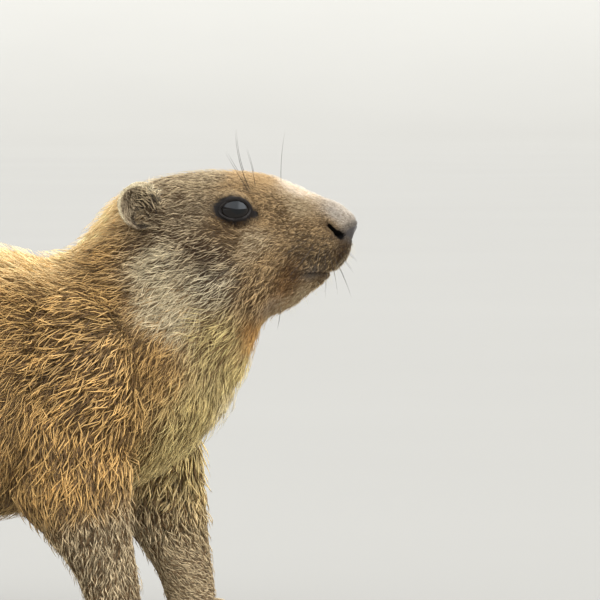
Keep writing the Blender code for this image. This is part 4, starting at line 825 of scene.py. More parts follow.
def carve(points, normals):
    """Cuts the mouth line, rolls the lips, sinks the nostrils and folds the lids."""
    near = points[:, 0] > CARVED_START
    spots = points[near]
    gap = path_distance(spots, Face.mouth)
    taper = blend(*MOUTH_START, spots[:, 0])
    notch = blend(*NOTCH_START, spots[:, 0]) * blend(*NOTCH_SIDES, np.abs(spots[:, 1]))
    width = LIP_WIDTH * (1 + NOTCH_WIDENING * notch)
    lift = -(LIP_DEPTH + LIP_NOTCH * notch) * taper * np.exp(-((gap / width) ** 2))
    lift += LIP_ROLL * taper * np.exp(-(((gap - ROLL_PLACE) / ROLL_WIDTH) ** 2))
    slot = nostril_distance(mirrored(spots))
    lift -= NOSTRIL_DEPTH * np.exp(-((slot / NOSTRIL_RADIUS) ** 2))
    groove = np.exp(-((spots[:, 1] / GROOVE_WIDTH) ** 2)) * blend(*GROOVE_START, spots[:, 0])
    lift -= GROOVE_DEPTH * groove * blend(*GROOVE_TOP, spots[:, 2])
    points[near] += normals[near] * lift[:, None]
    return open_eye(points)


def ring_places():
    places = [0.0]
    while places[-1] < ALONG[-1]:
        places.append(places[-1] + float(np.interp(places[-1], *zip(*RING_STEPS))))
    places[-1] = ALONG[-1]
    return np.array(places)


def trunk_mesh():
    """The trunk's skin from nose to rump, with its seam under the belly."""
    sides = bpy.context.scene.marmot_skin.sides
    turns = np.linspace(-math.pi, math.pi, sides, endpoint=False)
    grid, normals = trunk_skin(ring_places()[:, None], turns[None, :])
    plain = new_object("plain", tube_mesh("plain", grid))
    find_face(BVHTree.FromObject(plain, bpy.context.evaluated_depsgraph_get()))
    bpy.data.objects.remove(plain)
    carved = carve(grid.reshape(-1, 3).copy(), normals.reshape(-1, 3))
    return tube_mesh("trunk", carved.reshape(grid.shape), ISLANDS["trunk"])


def foreleg_rows(side, step):
    """Rows of the upper arm and of the forearm, which swings forward by the step."""
    upper = (
        (0.022, 0.026, 0.142, 0.012, 0.006),
        (0.027, 0.032, 0.128, 0.026, 0.017),
        (0.029 + 0.3 * step, 0.037, 0.106, 0.032, 0.021),
        (0.028 + 0.7 * step, 0.040, 0.084, 0.028, 0.019),
        (0.029 + 0.9 * step, 0.040, 0.064, 0.019, 0.014),
        (0.031 + step, 0.040, 0.054, 0.008, 0.006),
    )
    lower = (
        (0.022 + 0.9 * step, 0.040, 0.090, 0.010, 0.008),
        (0.029 + 0.9 * step, 0.040, 0.074, 0.024, 0.016),
        (0.037 + step, 0.040, 0.052, 0.018, 0.014),
        (0.044 + step, 0.040, 0.034, 0.0130, 0.0115),
        (0.048 + step, 0.040, 0.0195, 0.0112, 0.0105),
        (0.050 + step, 0.040, 0.0080, 0.0100, 0.0095),
    )
    return [[(x, side * y, z, f, s) for x, y, z, f, s in rows] for rows in (upper, lower)]


def hindleg_rows(side, step):
    """Rows of the thigh and of the shank, which stands forward by the step."""
    upper = (
        (-0.170, 0.038, 0.148, 0.020, 0.010),
        (-0.171, 0.044, 0.134, 0.036, 0.020),
        (-0.165 + 0.3 * step, 0.051, 0.108, 0.048, 0.027),
        (-0.155 + 0.6 * step, 0.056, 0.080, 0.044, 0.025),
        (-0.147 + step, 0.057, 0.056, 0.032, 0.019),
        (-0.144 + step, 0.056, 0.040, 0.014, 0.010),
    )
    lower = (
        (-0.140 + step, 0.055, 0.068, 0.018, 0.012),
        (-0.154 + step, 0.055, 0.053, 0.026, 0.017),
        (-0.175 + step, 0.054, 0.038, 0.019, 0.014),
        (-0.188 + step, 0.053, 0.0260, 0.0140, 0.0120),
        (-0.192 + step, 0.053, 0.0080, 0.0105, 0.0100),
    )
    return [[(x, side * y, z, f, s) for x, y, z, f, s in rows] for rows in (upper, lower)]


def foot_frame(shank, sizes, hand):
    """A foot's heel, heading and way across, on the floor."""
    turn = hand * sizes[5]
    heading = np.array((math.cos(turn), math.sin(turn), 0))
    across = np.array((-heading[1], heading[0], 0))
    heel = np.array((*shank[-1][:2], 0)) - heading * sizes[3]
    return heel, heading, across, turn


def toe_paths(shank, sizes, hand):
    """Rows of each toe, and where and which way its claw leaves it."""
    length, width, toes = sizes[0], sizes[1], sizes[4]
    heel, heading, across, turn = foot_frame(shank, sizes, hand)
    knuckles = heel + heading * (length * KNUCKLES)
    found = []
    for share in np.linspace(-1, 1, toes):
        angle = turn + share * TOE_SPREAD
        ahead = np.array((math.cos(angle), math.sin(angle), 0))
        outer = share * share
        long = TOE_LENGTH - OUTER_TOE_SHORT * outer
        start = knuckles + across * (share * width * TOE_PITCH) - ahead * (OUTER_TOE_BACK * outer)
        rows = []
        for part, thick, rise in TOE_SHAPE:
            spot = start + ahead * (long * part)
            rows.append((spot[0], spot[1], TOE_RADIUS * rise, TOE_RADIUS * thick, TOE_RADIUS * thick))
        tip = start + ahead * (long - CLAW_SINK)
        tip[2] = CLAW_LENGTH * CLAW_DROP + CLAW_TIP_HEIGHT
        found.append((rows, tip, ahead))
    return found


def foot_meshes(shank, sizes, hand, islands):
    """The sole and toes of a foot, as closed forms."""
    length, width, height = sizes[:3]
    heel, heading, _, _ = foot_frame(shank, sizes, hand)
    sole = []
    for share, wide, tall in SOLE_SHAPE:
        spot = heel + heading * (length * share)
        sole.append((spot[0], spot[1], height * tall * 0.42, height * tall * 0.52, width * wide * 0.5))
    made = [tube_mesh("sole", limb_grid(sole, *SOLE_FINENESS, -FOOT_DEPTH), next(islands))]
    for rows, _, _ in toe_paths(shank, sizes, hand):
        made.append(tube_mesh("toe", limb_grid(rows, *TOE_FINENESS, -FOOT_DEPTH * 0.5), next(islands)))
    return made


def foot_islands():
    """Cells of the unwrap for the forms of the feet, one after another."""
    (x, y), (wide, tall) = FOOT_ISLANDS, FOOT_CELL
    for i in range(40):
        yield x + i % FOOT_COLUMNS * wide, y + i // FOOT_COLUMNS * tall, wide * 0.94, tall * 0.94


def ear_grid(side):
    """The ear's cup as rings: out over its back, round the rim, and down into its hollow."""
    axes = look_frame(EAR_LOOK, side)
    centre = np.array(EAR_PLACE) * (1, side, 1)
    outside = [(share, -EAR_WALL) for share in (0.1, 0.3, 0.5, 0.66, 0.8, 0.9, 0.97, 1.0)]
    rim = [(1.03, -EAR_WALL * 0.8), (1.045, -EAR_WALL * 0.5), (1.03, -EAR_WALL * 0.2)]
    inside = [(share * 0.98, 0.0) for share in (1.0, 0.95, 0.88, 0.8, 0.7, 0.6, 0.5, 0.4, 0.3, 0.2, 0.1)]
    angle = np.linspace(0, 2 * math.pi, 72, endpoint=False)
    ahead, up = np.cos(angle), np.sin(angle)
    grid = []
    for share, level in outside + rim + inside:
        wide = EAR_WIDTH * (1.0 + EAR_TAPER * up)
        flare = EAR_FLARE * (0.5 - 0.5 * (0.85 * ahead - 0.35 * up))
        depth = -EAR_DEPTH * (1 - min(share, 1.0) ** 2) + flare * share**2 + level
        across = wide * share * ahead + EAR_SLOPE[0] * (1 - share)
        upward = EAR_HEIGHT * share * up + EAR_SLOPE[1] * (1 - share)
        if level == 0.0:
            away = np.hypot(across - EAR_PIT[0], upward - EAR_PIT[1])
            depth = depth - PIT_DEPTH * np.exp(-((away / PIT_REACH) ** 2))
        grid.append(centre + np.stack([across, upward, depth], axis=1) @ axes.T)
    return np.array(grid)


def skin_forms():
    """The closed meshes that are joined into the skin."""
    spacing = bpy.context.scene.marmot_skin.leg_step
    islands = foot_islands()
    made = []
    for side, label in BOTH:
        fore_step, hind_step = STEPS[label]
        arm, thigh = foreleg_rows(side, fore_step), hindleg_rows(side, hind_step)
        for (upper, lower), names, foot in (
            (arm, ("arm", "forearm"), FORE_FOOT),
            (thigh, ("thigh", "shank"), HIND_FOOT),
        ):
            grids = (
                limb_grid(upper, spacing, UPPER_SIDES, -LEG_DEPTH),
                limb_grid(lower, spacing, LOWER_SIDES, -FOOT_DEPTH * 1.5),
            )
            for name, grid in zip(names, grids):
                made.append(tube_mesh(name, grid, ISLANDS[f"{name}_{label}"]))
            made += foot_meshes(lower, foot, side, islands)
        made.append(tube_mesh("ear", ear_grid(side), ISLANDS[f"ear_{label}"]))
    core = [(x, y, z, r * (1 - TAIL_CORE), r * (1 - TAIL_CORE)) for x, y, z, r in TAIL]
    made.append(tube_mesh("tail", limb_grid(core, spacing, LOWER_SIDES), ISLANDS["tail"]))
    return made


def join_forms(first, others):
    """One closed mesh from closed meshes that run into one another."""
    obj = new_object("skin", first)
    group = bpy.data.collections.new("forms")
    for mesh in others:
        group.objects.link(bpy.data.objects.new(mesh.name, mesh))
    modifier = obj.modifiers.new("join", "BOOLEAN")
    modifier.operation = "UNION"
    modifier.operand_type = "COLLECTION"
    modifier.collection = group
    modifier.solver = "MANIFOLD"
    bpy.context.view_layer.update()
    joined = bpy.data.meshes.new_from_object(obj.evaluated_get(bpy.context.evaluated_depsgraph_get()))
    obj.modifiers.clear()
    obj.data = joined
    joined.name = "skin"
    for other in list(group.objects):
        bpy.data.objects.remove(other)
    bpy.data.collections.remove(group)
    return obj


class Skin:
    """The skin's mesh as arrays, for what is rooted in it."""

    def __init__(self, obj):
        mesh = obj.data
        mesh.calc_loop_triangles()
        self.verts = places_of(mesh)
        self.normals = values_of(mesh.vertex_normals, "vector", 3).astype(float)
        self.corners = values_of(mesh.loop_triangles, "vertices", 3, np.int32)
        loops = values_of(mesh.loop_triangles, "loops", 3, np.int32)
        self.uvs = values_of(mesh.uv_layers["OFBake"].data, "uv", 2)[loops]
        self.tree = BVHTree.FromObject(obj, bpy.context.evaluated_depsgraph_get())

    def nearest(self, points):
        """The nearest places of the skin, and the way out of it there."""
        spots, outs = np.empty_like(points), np.empty_like(points)
        find = self.tree.find_nearest
        for i, point in enumerate(points.tolist()):
            spots[i], outs[i] = find(point)[:2]
        return spots, outs


def part_of(uvs):
    """The name of the island that holds each place of the unwrap, with feet for the cells of the feet."""
    names = np.full(len(uvs), "foot", dtype=object)
    for name, (x, y, wide, tall) in ISLANDS.items():
        inside = (uvs[:, 0] >= x) & (uvs[:, 0] <= x + wide) & (uvs[:, 1] >= y) & (uvs[:, 1] <= y + tall)
        names[inside] = name
    return names


def pad_level(points):
    """1 on the edge of the nose's bare pad, less inside and more outside; it runs down to the lip."""
    away = (points - PAD_PLACE) / PAD_REACH
    low = 1 - PAD_TONGUE * blend(*TONGUE_WIDTH, np.abs(points[..., 1]))
    away[..., 2] *= np.where(away[..., 2] < 0, low, 1)
    return np.linalg.norm(away, axis=-1)


class Fields:
    """The coat's lie, length, height and colours at each of many places."""

    def __init__(self, points, normals, parts):
        guides = list(COAT.values())
        places = np.array([guide[0] for guide in guides], float)
        left = mirrored(points) * 1000
        away = ((left[:, None, :] - places[None]) ** 2).sum(-1)
        weight = 1 / (away + GUIDE_CORE**2) ** 2.5
        weight /= weight.sum(axis=1, keepdims=True)
        lie = weight @ np.array([guide[1] for guide in guides], float)
        lie[:, 1] *= np.where(points[:, 1] < 0, -1, 1)
        tail = np.char.startswith(parts.astype(str), "tail")
        lie[tail, 1] = np.abs(lie[tail, 1])
        self.length = weight @ np.array([guide[2] for guide in guides]) / 1000
        self.height = weight @ np.array([guide[3] for guide in guides]) / 1000
        self.light = weight @ np.array([paint(guide[4]) for guide in guides])
        self.dark = weight @ np.array([paint(guide[5]) for guide in guides])
        self.share = weight @ np.array([guide[6] for guide in guides])
        self.bare = np.zeros(len(points))
        self.lie = lie
        self.add_marks(points)
        self.around_eyes(points)
        self.around_ears(points, normals, parts)
        self.around_mouth(points)
        self.under_feet(normals, parts)
        self.lie = unit(self.lie - normals * (self.lie * normals).sum(1, keepdims=True))

    def tone(self, share, rgb):
        """Turns both colours towards one, by a share at each place."""
        share = np.asarray(share)[:, None]
        self.light = self.light * (1 - share) + np.asarray(rgb) * share
        self.dark = self.dark * (1 - share) + np.asarray(rgb) * 0.6 * share

    def strip(self, share, rgb):
        """Bares the skin, in a colour, by a share at each place."""
        self.bare = np.maximum(self.bare, share)
        self.tone(share, rgb)

    def shorten(self, near, length, height):
        """Takes shares of the tufts' length and height away where the bare skin is near."""
        self.length *= 1 - length * near
        self.height *= 1 - height * near

    def add_marks(self, points):
        """Tones the coat in the named marks, two of which are painted shade, and darkens the dots where the
        whiskers grow.
        """
        x, z = points[:, 0] * 1000, points[:, 2] * 1000
        for place, reach, turn, tint, strength in MARKS.values():
            angle = math.radians(turn)
            ahead, up = x - place[0], z - place[1]
            along = ahead * math.cos(angle) + up * math.sin(angle)
            across = up * math.cos(angle) - ahead * math.sin(angle)
            mark = np.exp(-((along / reach[0]) ** 2) - (across / reach[1]) ** 2)
            self.tone(strength * mark, paint(tint))
        for row in range(DOT_ROWS):
            for dot in range(DOTS):
                at_x = DOT_START[0] + DOT_STEP[0] * (dot + 0.5 * (row % 2)) + ROW_STEP[0] * row
                at_z = DOT_START[1] + DOT_STEP[1] * dot + ROW_STEP[1] * row
                mark = np.exp(-((x - at_x) ** 2 + (z - at_z) ** 2) / DOT_SIZE**2)
                self.tone(0.9 * mark, paint("charcoal"))

    def around_eyes(self, points):
        for side, _ in BOTH:
            local = in_frame(points, EYE_PLACE, EYE_LOOK, side)
            near = (np.linalg.norm(local, axis=1) < 0.022) & (local[:, 2] > 0)
            level = np.where(near, rim_level(local), FAR_AWAY)
            duct = np.linalg.norm((local[:, :2] - TEAR_DUCT) * (1.0, 1.2), axis=1)
            duct = np.where(near, duct / TEAR_REACH, FAR_AWAY)
            self.tone(0.35 * np.maximum(blend(1.35, 1.05, level), blend(2.2, 1.0, duct)), paint("umber"))
            self.strip(np.maximum(blend(1.06, 0.96, level), blend(1.15, 0.75, duct)), paint("rim"))
            self.shorten(blend(1.9, 1.1, level), 0.60, 0.40)
            axes = look_frame(EYE_LOOK, side)
            outward = unit(local * (1, 1, 0)) @ axes.T
            self.lie += outward * (1.1 * blend(1.8, 1.1, level))[:, None]

    def around_ears(self, points, normals, parts):
        for side, label in BOTH:
            on = parts == f"ear_{label}"
            local = in_frame(points, EAR_PLACE, EAR_LOOK, side)
            axes = look_frame(EAR_LOOK, side)
            across, upward = local[:, 0] / EAR_WIDTH, local[:, 1] / EAR_HEIGHT
            share = np.hypot(across, upward)
            inner = on & (normals @ axes[:, 2] > 0.1)
            # The cream of the ear's rim is its pale hair, with painted rim light that makes it palest at
            # the top and rear
            rim = blend(0.89, 1.0, share) * blend(-0.7, 0.5, upward - 0.9 * across)
            front = (blend(-0.1, 0.5, across) * blend(1.2, 0.7, upward))[:, None]
            light = paint("ear_grey") * (1 - front) + paint("sand") * front
            dark = paint("umber") * (1 - front) + paint("charcoal") * front
            self.light[on], self.dark[on] = light[on], dark[on]
            self.share[on] = (0.60 - 0.14 * front[:, 0])[on]
            self.tone(np.where(on, rim, 0), paint("cream"))
            self.share = np.where(on, np.clip(self.share + 0.5 * rim, 0, 1), self.share)
            # Painted shade: the pit deep in the ear's hollow is darkened almost to black
            shaded_pit = np.hypot(local[:, 0] - EAR_PIT[0], local[:, 1] - EAR_PIT[1] + 0.0008) / PIT_REACH
            self.tone(np.where(inner, 0.90 * blend(1.5, 0.7, shaded_pit), 0), paint("umber") * 0.3)
            lean = (axes[:, 1] - axes[:, 0] * 1.3)[None]
            radial = unit(local * (1, 1, 0) + (0, 0.002, 0)) @ axes.T
            self.lie[on] = np.where(inner[:, None], lean + radial * 0.15, radial + axes[:, 1] * 0.3)[on]
            edge = 1 - 0.70 * blend(0.75, 0.98, share) * blend(0.7, 0.0, across)
            self.length[on] = (np.where(inner, 0.0040 + 0.0030 * front[:, 0], 0.0036) * edge)[on]
            self.height[on] = (np.where(inner, 0.0009, 0.0006) * edge)[on]

    def around_mouth(self, points):
        near = points[:, 0] > SNOUT_START
        line, slot, pad = (np.full(len(points), FAR_AWAY) for _ in range(3))
        line[near] = path_distance(points[near], Face.mouth)
        slot[near] = nostril_distance(mirrored(points[near]))
        pad[near] = pad_level(points[near])
        taper = blend(0.122, 0.132, points[:, 0])
        # Painted shade: the skin in the mouth's cut is bared and painted black
        self.strip(blend(0.0010, 0.0006, line) * taper, paint("black"))
        self.tone(blend(0.0030, 0.0012, line) * 0.35 * taper, paint("lip"))
        # Painted shade round the nostril's hollow, in umber
        self.tone(blend(0.0027, 0.0012, slot) * 0.60, paint("umber"))
        self.tone(blend(1.9, 1.1, pad) * 0.60, paint("slate") * 0.5)
        self.strip(blend(1.12, 1.0, pad), np.array(PAD_TINT) * 0.8)
        # Painted shade: the nostril's hollow is bared and painted near black
        self.strip(blend(0.0014, 0.0010, slot), paint("black") * 0.25)
        fringe = blend(0.0045, 0.0010, np.abs(points[:, 1])) * blend(0.1340, 0.1400, points[:, 0])
        self.tone(0.38 * fringe * blend(0.1680, 0.1660, points[:, 2]) * (1 - self.bare), paint("cream"))
        self.shorten(blend(0.0036, 0.0012, slot), 0.60, 0.50)
        self.shorten(blend(0.0034, 0.0012, line) * taper, 0.72, 0.50)

    def under_feet(self, normals, parts):
        low = (parts == "foot") & (normals[:, 2] < -0.5)
        self.strip(np.where(low, 1.0, 0.0), paint("sole"))


def skin_colours(fields):
    """The skin's colour: the coat's, darker, for the dark underfur and painted shade between the roots."""
    mixed = fields.light * fields.share[:, None] + fields.dark * (1 - fields.share[:, None])
    # Painted shade: darker under long fur, as the shade between the roots; the rest is the dark underfur
    underfur_and_shade = 0.48 + 0.26 * blend(0.010, 0.003, fields.length)
    underfur_and_shade = np.maximum(underfur_and_shade, fields.bare)
    return mixed * underfur_and_shade[:, None]


def principled(name, roughness, **sockets):
    """A material, its node tree and its shader, with plain values on the shader's own sockets."""
    material = bpy.data.materials.new(name)
    material.use_nodes = True
    tree = material.node_tree
    shader = tree.nodes["Principled BSDF"]
    shader.inputs["Roughness"].default_value = roughness
    for socket, value in sockets.items():
        shader.inputs[socket.replace("_", " ")].default_value = value
    return material, tree, shader


def node(tree, kind, sockets=(), **settings):
    made = tree.nodes.new(kind)
    for key, value in settings.items():
        setattr(made, key, value)
    for key, value in dict(sockets).items():
        made.inputs[key].default_value = value
    return made


def add_bump(tree, shader, height, strength, distance):
    bump = node(tree, "ShaderNodeBump", {"Strength": strength, "Distance": distance})
    tree.links.new(height, bump.inputs["Height"])
    tree.links.new(bump.outputs["Normal"], shader.inputs["Normal"])


def markings(tree):
    return node(tree, "ShaderNodeAttribute", attribute_name="markings").outputs["Color"]


def mottled(tree, shader, base, scale, low, high):
    """Base colour times a fine noise between two shades."""
    place = node(tree, "ShaderNodeTexCoord").outputs["Object"]
    noise = node(tree, "ShaderNodeTexNoise", {"Scale": scale, "Detail": 3.0})
    tree.links.new(place, noise.inputs["Vector"])
    ends = {"From Min": 0.25, "From Max": 0.75, "To Min": low, "To Max": high}
    span = node(tree, "ShaderNodeMapRange", ends)
    tree.links.new(noise.outputs["Fac"], span.inputs["Value"])
    scaled = node(tree, "ShaderNodeVectorMath", operation="SCALE")
    tree.links.new(base, scaled.inputs[0])
    tree.links.new(span.outputs["Result"], scaled.inputs["Scale"])
    tree.links.new(scaled.outputs["Vector"], shader.inputs["Base Color"])
    return place, noise.outputs["Fac"]


def coat_material():
    material, tree, shader = principled("marmot_coat", 0.60, Specular_IOR_Level=0.22)
    shader.inputs["Sheen Weight"].default_value = 0.05
    shader.inputs["Sheen Roughness"].default_value = 0.45
    mottled(tree, shader, markings(tree), 700.0, 0.86, 1.14)
    return material


def skin_material():
    material, tree, shader = principled("marmot_skin", 0.70, Specular_IOR_Level=0.12)
    _, noise = mottled(tree, shader, markings(tree), 1600.0, 0.75, 1.2)
    add_bump(tree, shader, noise, 0.35, 0.0004)
    return material


def leather_material(name, rgb, roughness, gloss, specular=0.5):
    """Dark bare skin with fine pores and folds."""
    material, tree, shader = principled(name, roughness, Specular_IOR_Level=specular)
    shader.inputs["Coat Weight"].default_value = gloss
    shader.inputs["Coat Roughness"].default_value = 0.25
    base = node(tree, "ShaderNodeRGB")
    base.outputs[0].default_value = (*rgb, 1.0)
    place, _ = mottled(tree, shader, base.outputs[0], 420.0, 0.7, 1.35)
    cells = node(tree, "ShaderNodeTexVoronoi", {"Scale": 1500.0})
    tree.links.new(place, cells.inputs["Vector"])
    add_bump(tree, shader, cells.outputs["Distance"], 0.45, 0.0003)
    return material


def eye_material():
    material, tree, shader = principled("eye", 0.02, Specular_IOR_Level=0.32)
    shader.inputs["Specular Tint"].default_value = (0.90, 0.95, 1.0, 1.0)
    mottled(tree, shader, markings(tree), 900.0, 0.75, 1.25)
    return material


def horn_material():
    material, tree, shader = principled("claw_horn", 0.42, Specular_IOR_Level=0.45)
    place, _ = mottled(tree, shader, markings(tree), 500.0, 0.7, 1.3)
    streaks = node(tree, "ShaderNodeTexNoise", {"Scale": 2500.0, "Detail": 2.0})
    tree.links.new(place, streaks.inputs["Vector"])
    add_bump(tree, shader, streaks.outputs["Fac"], 0.3, 0.0002)
    return material


def stand(mesh):
    """Flattens on the floor what would reach below it, as soft soles are."""
    spots = places_of(mesh)
    spots[:, 2] = np.maximum(spots[:, 2], FLOOR_GAP)
    move_to(mesh, spots)


def put(obj, material, nodes=()):
    """Finishes a piece: its place in the frame, material, body, slot and the solids it stands for."""
    obj.data.transform(Matrix.Translation(SHIFT))
    stand(obj.data)
    obj.data.materials.clear()
    obj.data.materials.append(material)
    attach(obj, BODY)
    if nodes:
        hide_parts(*nodes)
    return obj


class MARMOT_OT_skin(Operator):
    """Makes one skin under the coat, from the nose to the tail and the toes"""

    bl_idname = "marmot.skin"
    bl_label = "Skin"

    def execute(self, context):
        obj = join_forms(trunk_mesh(), skin_forms())
        skin = Skin(obj)
        if len(skin.corners) < 50000:
            raise RuntimeError("the forms of the skin didn't join")
        centres = skin.uvs.mean(axis=1)
        owner = np.zeros(len(skin.verts), int)
        owner[skin.corners.ravel()] = np.repeat(np.arange(len(centres)), 3)
        parts = part_of(centres)[owner]
        fields = Fields(skin.verts, skin.normals, parts)
        for layer in list(obj.data.color_attributes):
            obj.data.color_attributes.remove(layer)
        set_colours(obj.data, skin_colours(fields))
        obj.data.polygons.foreach_set("use_smooth", np.ones(len(obj.data.polygons), bool))
        Coat.skin = skin
        put(obj, skin_material(), FLESH)
        return {"FINISHED"}


class Coat:
    """The skin that tufts and whiskers are rooted in."""

    skin = None


def rooting_skin():
    if Coat.skin is None:
        raise RuntimeError("make the skin before what is rooted in it")
    return Coat.skin


def sow(skin, settings, random):
    """Places of the tufts' roots over the skin: place, way out, unwrap place and the form's name."""
    corners = skin.verts[skin.corners]
    centres = corners.mean(axis=1)
    cross = np.cross(corners[:, 1] - corners[:, 0], corners[:, 2] - corners[:, 0])
    area = np.linalg.norm(cross, axis=1) / 2
    parts = part_of(skin.uvs.mean(axis=1))
    fields = Fields(centres, unit(cross), parts)
    width = tuft_width(settings, fields, centres, parts)
    wanted = settings.cover * area / (width * fields.length) * (1 - fields.bare)
    total = np.cumsum(wanted)
    picks = np.searchsorted(total, np.arange(int(total[-1])) + random.random(int(total[-1])))
    picks = np.minimum(picks, len(corners) - 1)
    share = random.random((len(picks), 2))
    share = np.where(share.sum(axis=1, keepdims=True) > 1, 1 - share, share)
    share = np.concatenate([1 - share.sum(axis=1, keepdims=True), share], axis=1)[..., None]
    roots = (corners[picks] * share).sum(axis=1)
    outs = unit((skin.normals[skin.corners[picks]] * share).sum(axis=1))
    uvs = (skin.uvs[picks] * share).sum(axis=1)
    return roots, outs, uvs, parts[picks]


def tuft_width(settings, fields, points, parts):
    """Width of tufts at each place: finest on the head and shoulders, widest on rump, limbs and ears."""
    coarse = blend(0.0, -0.10, points[:, 0])
    coarse[~np.isin(parts, ("trunk", "tail"))] = 1.0
    width = settings.width + settings.widening * fields.length
    far = 1 + (settings.far_side - 1) * blend(0.0, 0.015, points[:, 1])
    return width * far * (1 + (settings.coarseness - 1) * coarse)


def locks_of(roots, size, random):
    """For each tuft, the tuft in the middle of the lock that it belongs to."""
    seeds = np.flatnonzero(random.random(len(roots)) < 1 / size)
    tree = kdtree.KDTree(len(seeds))
    for i, spot in enumerate(roots[seeds].tolist()):
        tree.insert(spot, i)
    tree.balance()
    return seeds[[tree.find(spot)[1] for spot in roots.tolist()]]


def tuft_points(skin, roots, outs, fields, rings, settings, random):
    """Each tuft's points along it with the way out of the skin there, and its lock."""
    count = len(roots)
    length = (fields.length * random.uniform(0.75, 1.2, count))[:, None]
    turn = random.normal(0, 1, count)[:, None] * (settings.stray + settings.straying * length)
    side = np.cross(fields.lie, outs)
    lie = fields.lie * np.cos(turn) + side * np.sin(turn)
    fuzzy = random.random(count) < settings.fuzz
    rise = np.minimum(fields.height * random.uniform(0.3, 1.3, count), settings.fuzz_rise)
    height = fields.height * random.uniform(0.30, 1.10, count)
    height = np.where(fuzzy, fields.height + rise, height)[:, None]
    middle = locks_of(roots, settings.lock, random)
    bend = random.normal(0, 0.16, count)[middle] + random.normal(0, 0.09, count)
    phase = random.uniform(0, 2 * math.pi, count)
    found = []
    for number, (share, rise) in enumerate([(ring[0], ring[1]) for ring in rings] + [(1.0, 1.0)]):
        sway = bend * share**2 + settings.wave * np.sin(phase + 5.0 * share)
        spot = roots + lie * length * share + side * length * sway[:, None]
        out = outs
        if number or len(rings) == 1:
            near, way = skin.nearest(spot)
            same = ((way * outs).sum(axis=1, keepdims=True) > SAME_SIDE) | (length > HOLLOW_LENGTH)
            lifted = spot + outs * (length * share) ** 2 * HOLLOW_CURVE
            spot, out = np.where(same, near, lifted), np.where(same, way, outs)
        spot = spot + out * height * rise
        if number:
            gather = settings.gather * share**2 * random.uniform(0.6, 1.1, count)
            gather = gather * (0.15 + 0.85 * blend(0.003, 0.013, fields.length))
            gather = np.where(fuzzy, 0, gather)
            spot = spot + (spot[middle] - spot) * gather[:, None]
        found.append((spot, out))
    return found, lie, middle, fuzzy


def tuft_arrays(start, found, lie, width, rings, flatness):
    """Points of all the tufts, and the triangles of one: a root, rings of three points, and a tip."""
    points = [start]
    for (spot, out), (_, _, wide) in zip(found[:-1], rings):
        across = unit(np.cross(lie, out)) * (width * wide / 2)[:, None]
        points += [spot - across, spot + out * (width * flatness)[:, None], spot + across]
    points.append(found[-1][0])
    tip = len(points) - 1
    faces = [(0, 1, 2), (0, 2, 3), (0, 3, 1)]
    for base in range(1, tip - 3, 3):
        for i in range(3):
            a, b = base + i, base + (i + 1) % 3
            faces += [(a, a + 3, b + 3), (a, b + 3, b)]
    faces += [(tip - 3 + i, tip, tip - 3 + (i + 1) % 3) for i in range(3)]
    return np.stack(points, axis=1), np.array(faces)


def tuft_colours(fields, middle, fuzzy, rings, random):
    """Colour at each point of each tuft: a dark root, its own band and its tip."""
    count = len(middle)
    lock_scale = blend(0.004, 0.012, fields.length)
    share = fields.share + (0.12 + 0.46 * lock_scale) * (random.random(count)[middle] - 0.5)
    pale = (fuzzy | (random.random(count) < share))[:, None]
    soft = 0.16 * blend(0.008, 0.004, fields.length)[:, None]
    share = np.where(pale, 1 - soft, soft)
    own = fields.light * share + fields.dark * (1 - share)
    shade = random.uniform(0.86, 1.14, count) * (1 + 0.16 * lock_scale * random.normal(0, 1, count)[middle])
    own = own * np.clip(shade, 0.5, 1.6)[:, None]
    other = fields.light * 0.35 + fields.dark * 0.65
    band = (own * 0.62 + other * 0.38 * random.uniform(0.6, 1.2, count)[:, None]) * 0.78
    stops = {1: [own * 0.88], 2: [band, own]}[len(rings)]
    rows = [fields.dark * (0.52 + 0.22 * blend(0.010, 0.003, fields.length))[:, None]]
    rows += [stop for stop in stops for _ in range(3)]
    rows.append(own * np.where(pale, 1.06, 0.9))
    return np.clip(np.stack(rows, axis=1), 0, 1)


def tuft_uvs(uvs, faces, rings):
    """A small patch for each tuft at its root's place on the skin's unwrap."""
    heights = np.linspace(-1, 1, len(rings) + 2)
    offsets = [(0, -1.0)]
    for height in heights[1:-1]:
        offsets += [(-1.0, height), (0, height), (1.0, height)]
    offsets.append((0, 1.0))
    return uvs[:, None, :] + (np.array(offsets) * TUFT_PATCH / 2)[faces.ravel()][None]


# The part of the coat that the tufts of ears and legs belong to
LIMB_REGIONS = {
    "ear": "ear",
    "arm": "foreleg",
    "forearm": "foreleg",
    "thigh": "hindleg",
    "shank": "hindleg",
}


def region_of(roots, parts):
    """The form that each tuft belongs to. The trunk is parted at the sections where the solids meet."""
    names = np.full(len(roots), "head", dtype=object)
    for name, region in (("neck", "neck"), ("withers", "chest"), ("belly", "hindquarters")):
        top_x, top_z, low_x, low_z = TRUNK[name][:4]
        x, z = roots[:, 0] - (top_x + low_x) / 2, roots[:, 2] - (top_z + low_z) / 2
        names[(parts == "trunk") & (x * (top_z - low_z) - z * (top_x - low_x) < 0)] = region
    for name in ("tail", "foot"):
        names[parts == name] = name
    for part, region in LIMB_REGIONS.items():
        for _, label in BOTH:
            names[parts == f"{part}_{label}"] = region
    return names


# The slot of each part of the coat
COAT_SLOTS = {
    "head": "face_coat",
    "neck": "golden_coat",
    "chest": "grizzled_coat",
    "hindquarters": "grizzled_coat",
    "foreleg": "golden_coat",
    "hindleg": "grizzled_coat",
    "foot": "foot_coat",
    "tail": "tail_coat",
    "ear": "ear_coat",
}


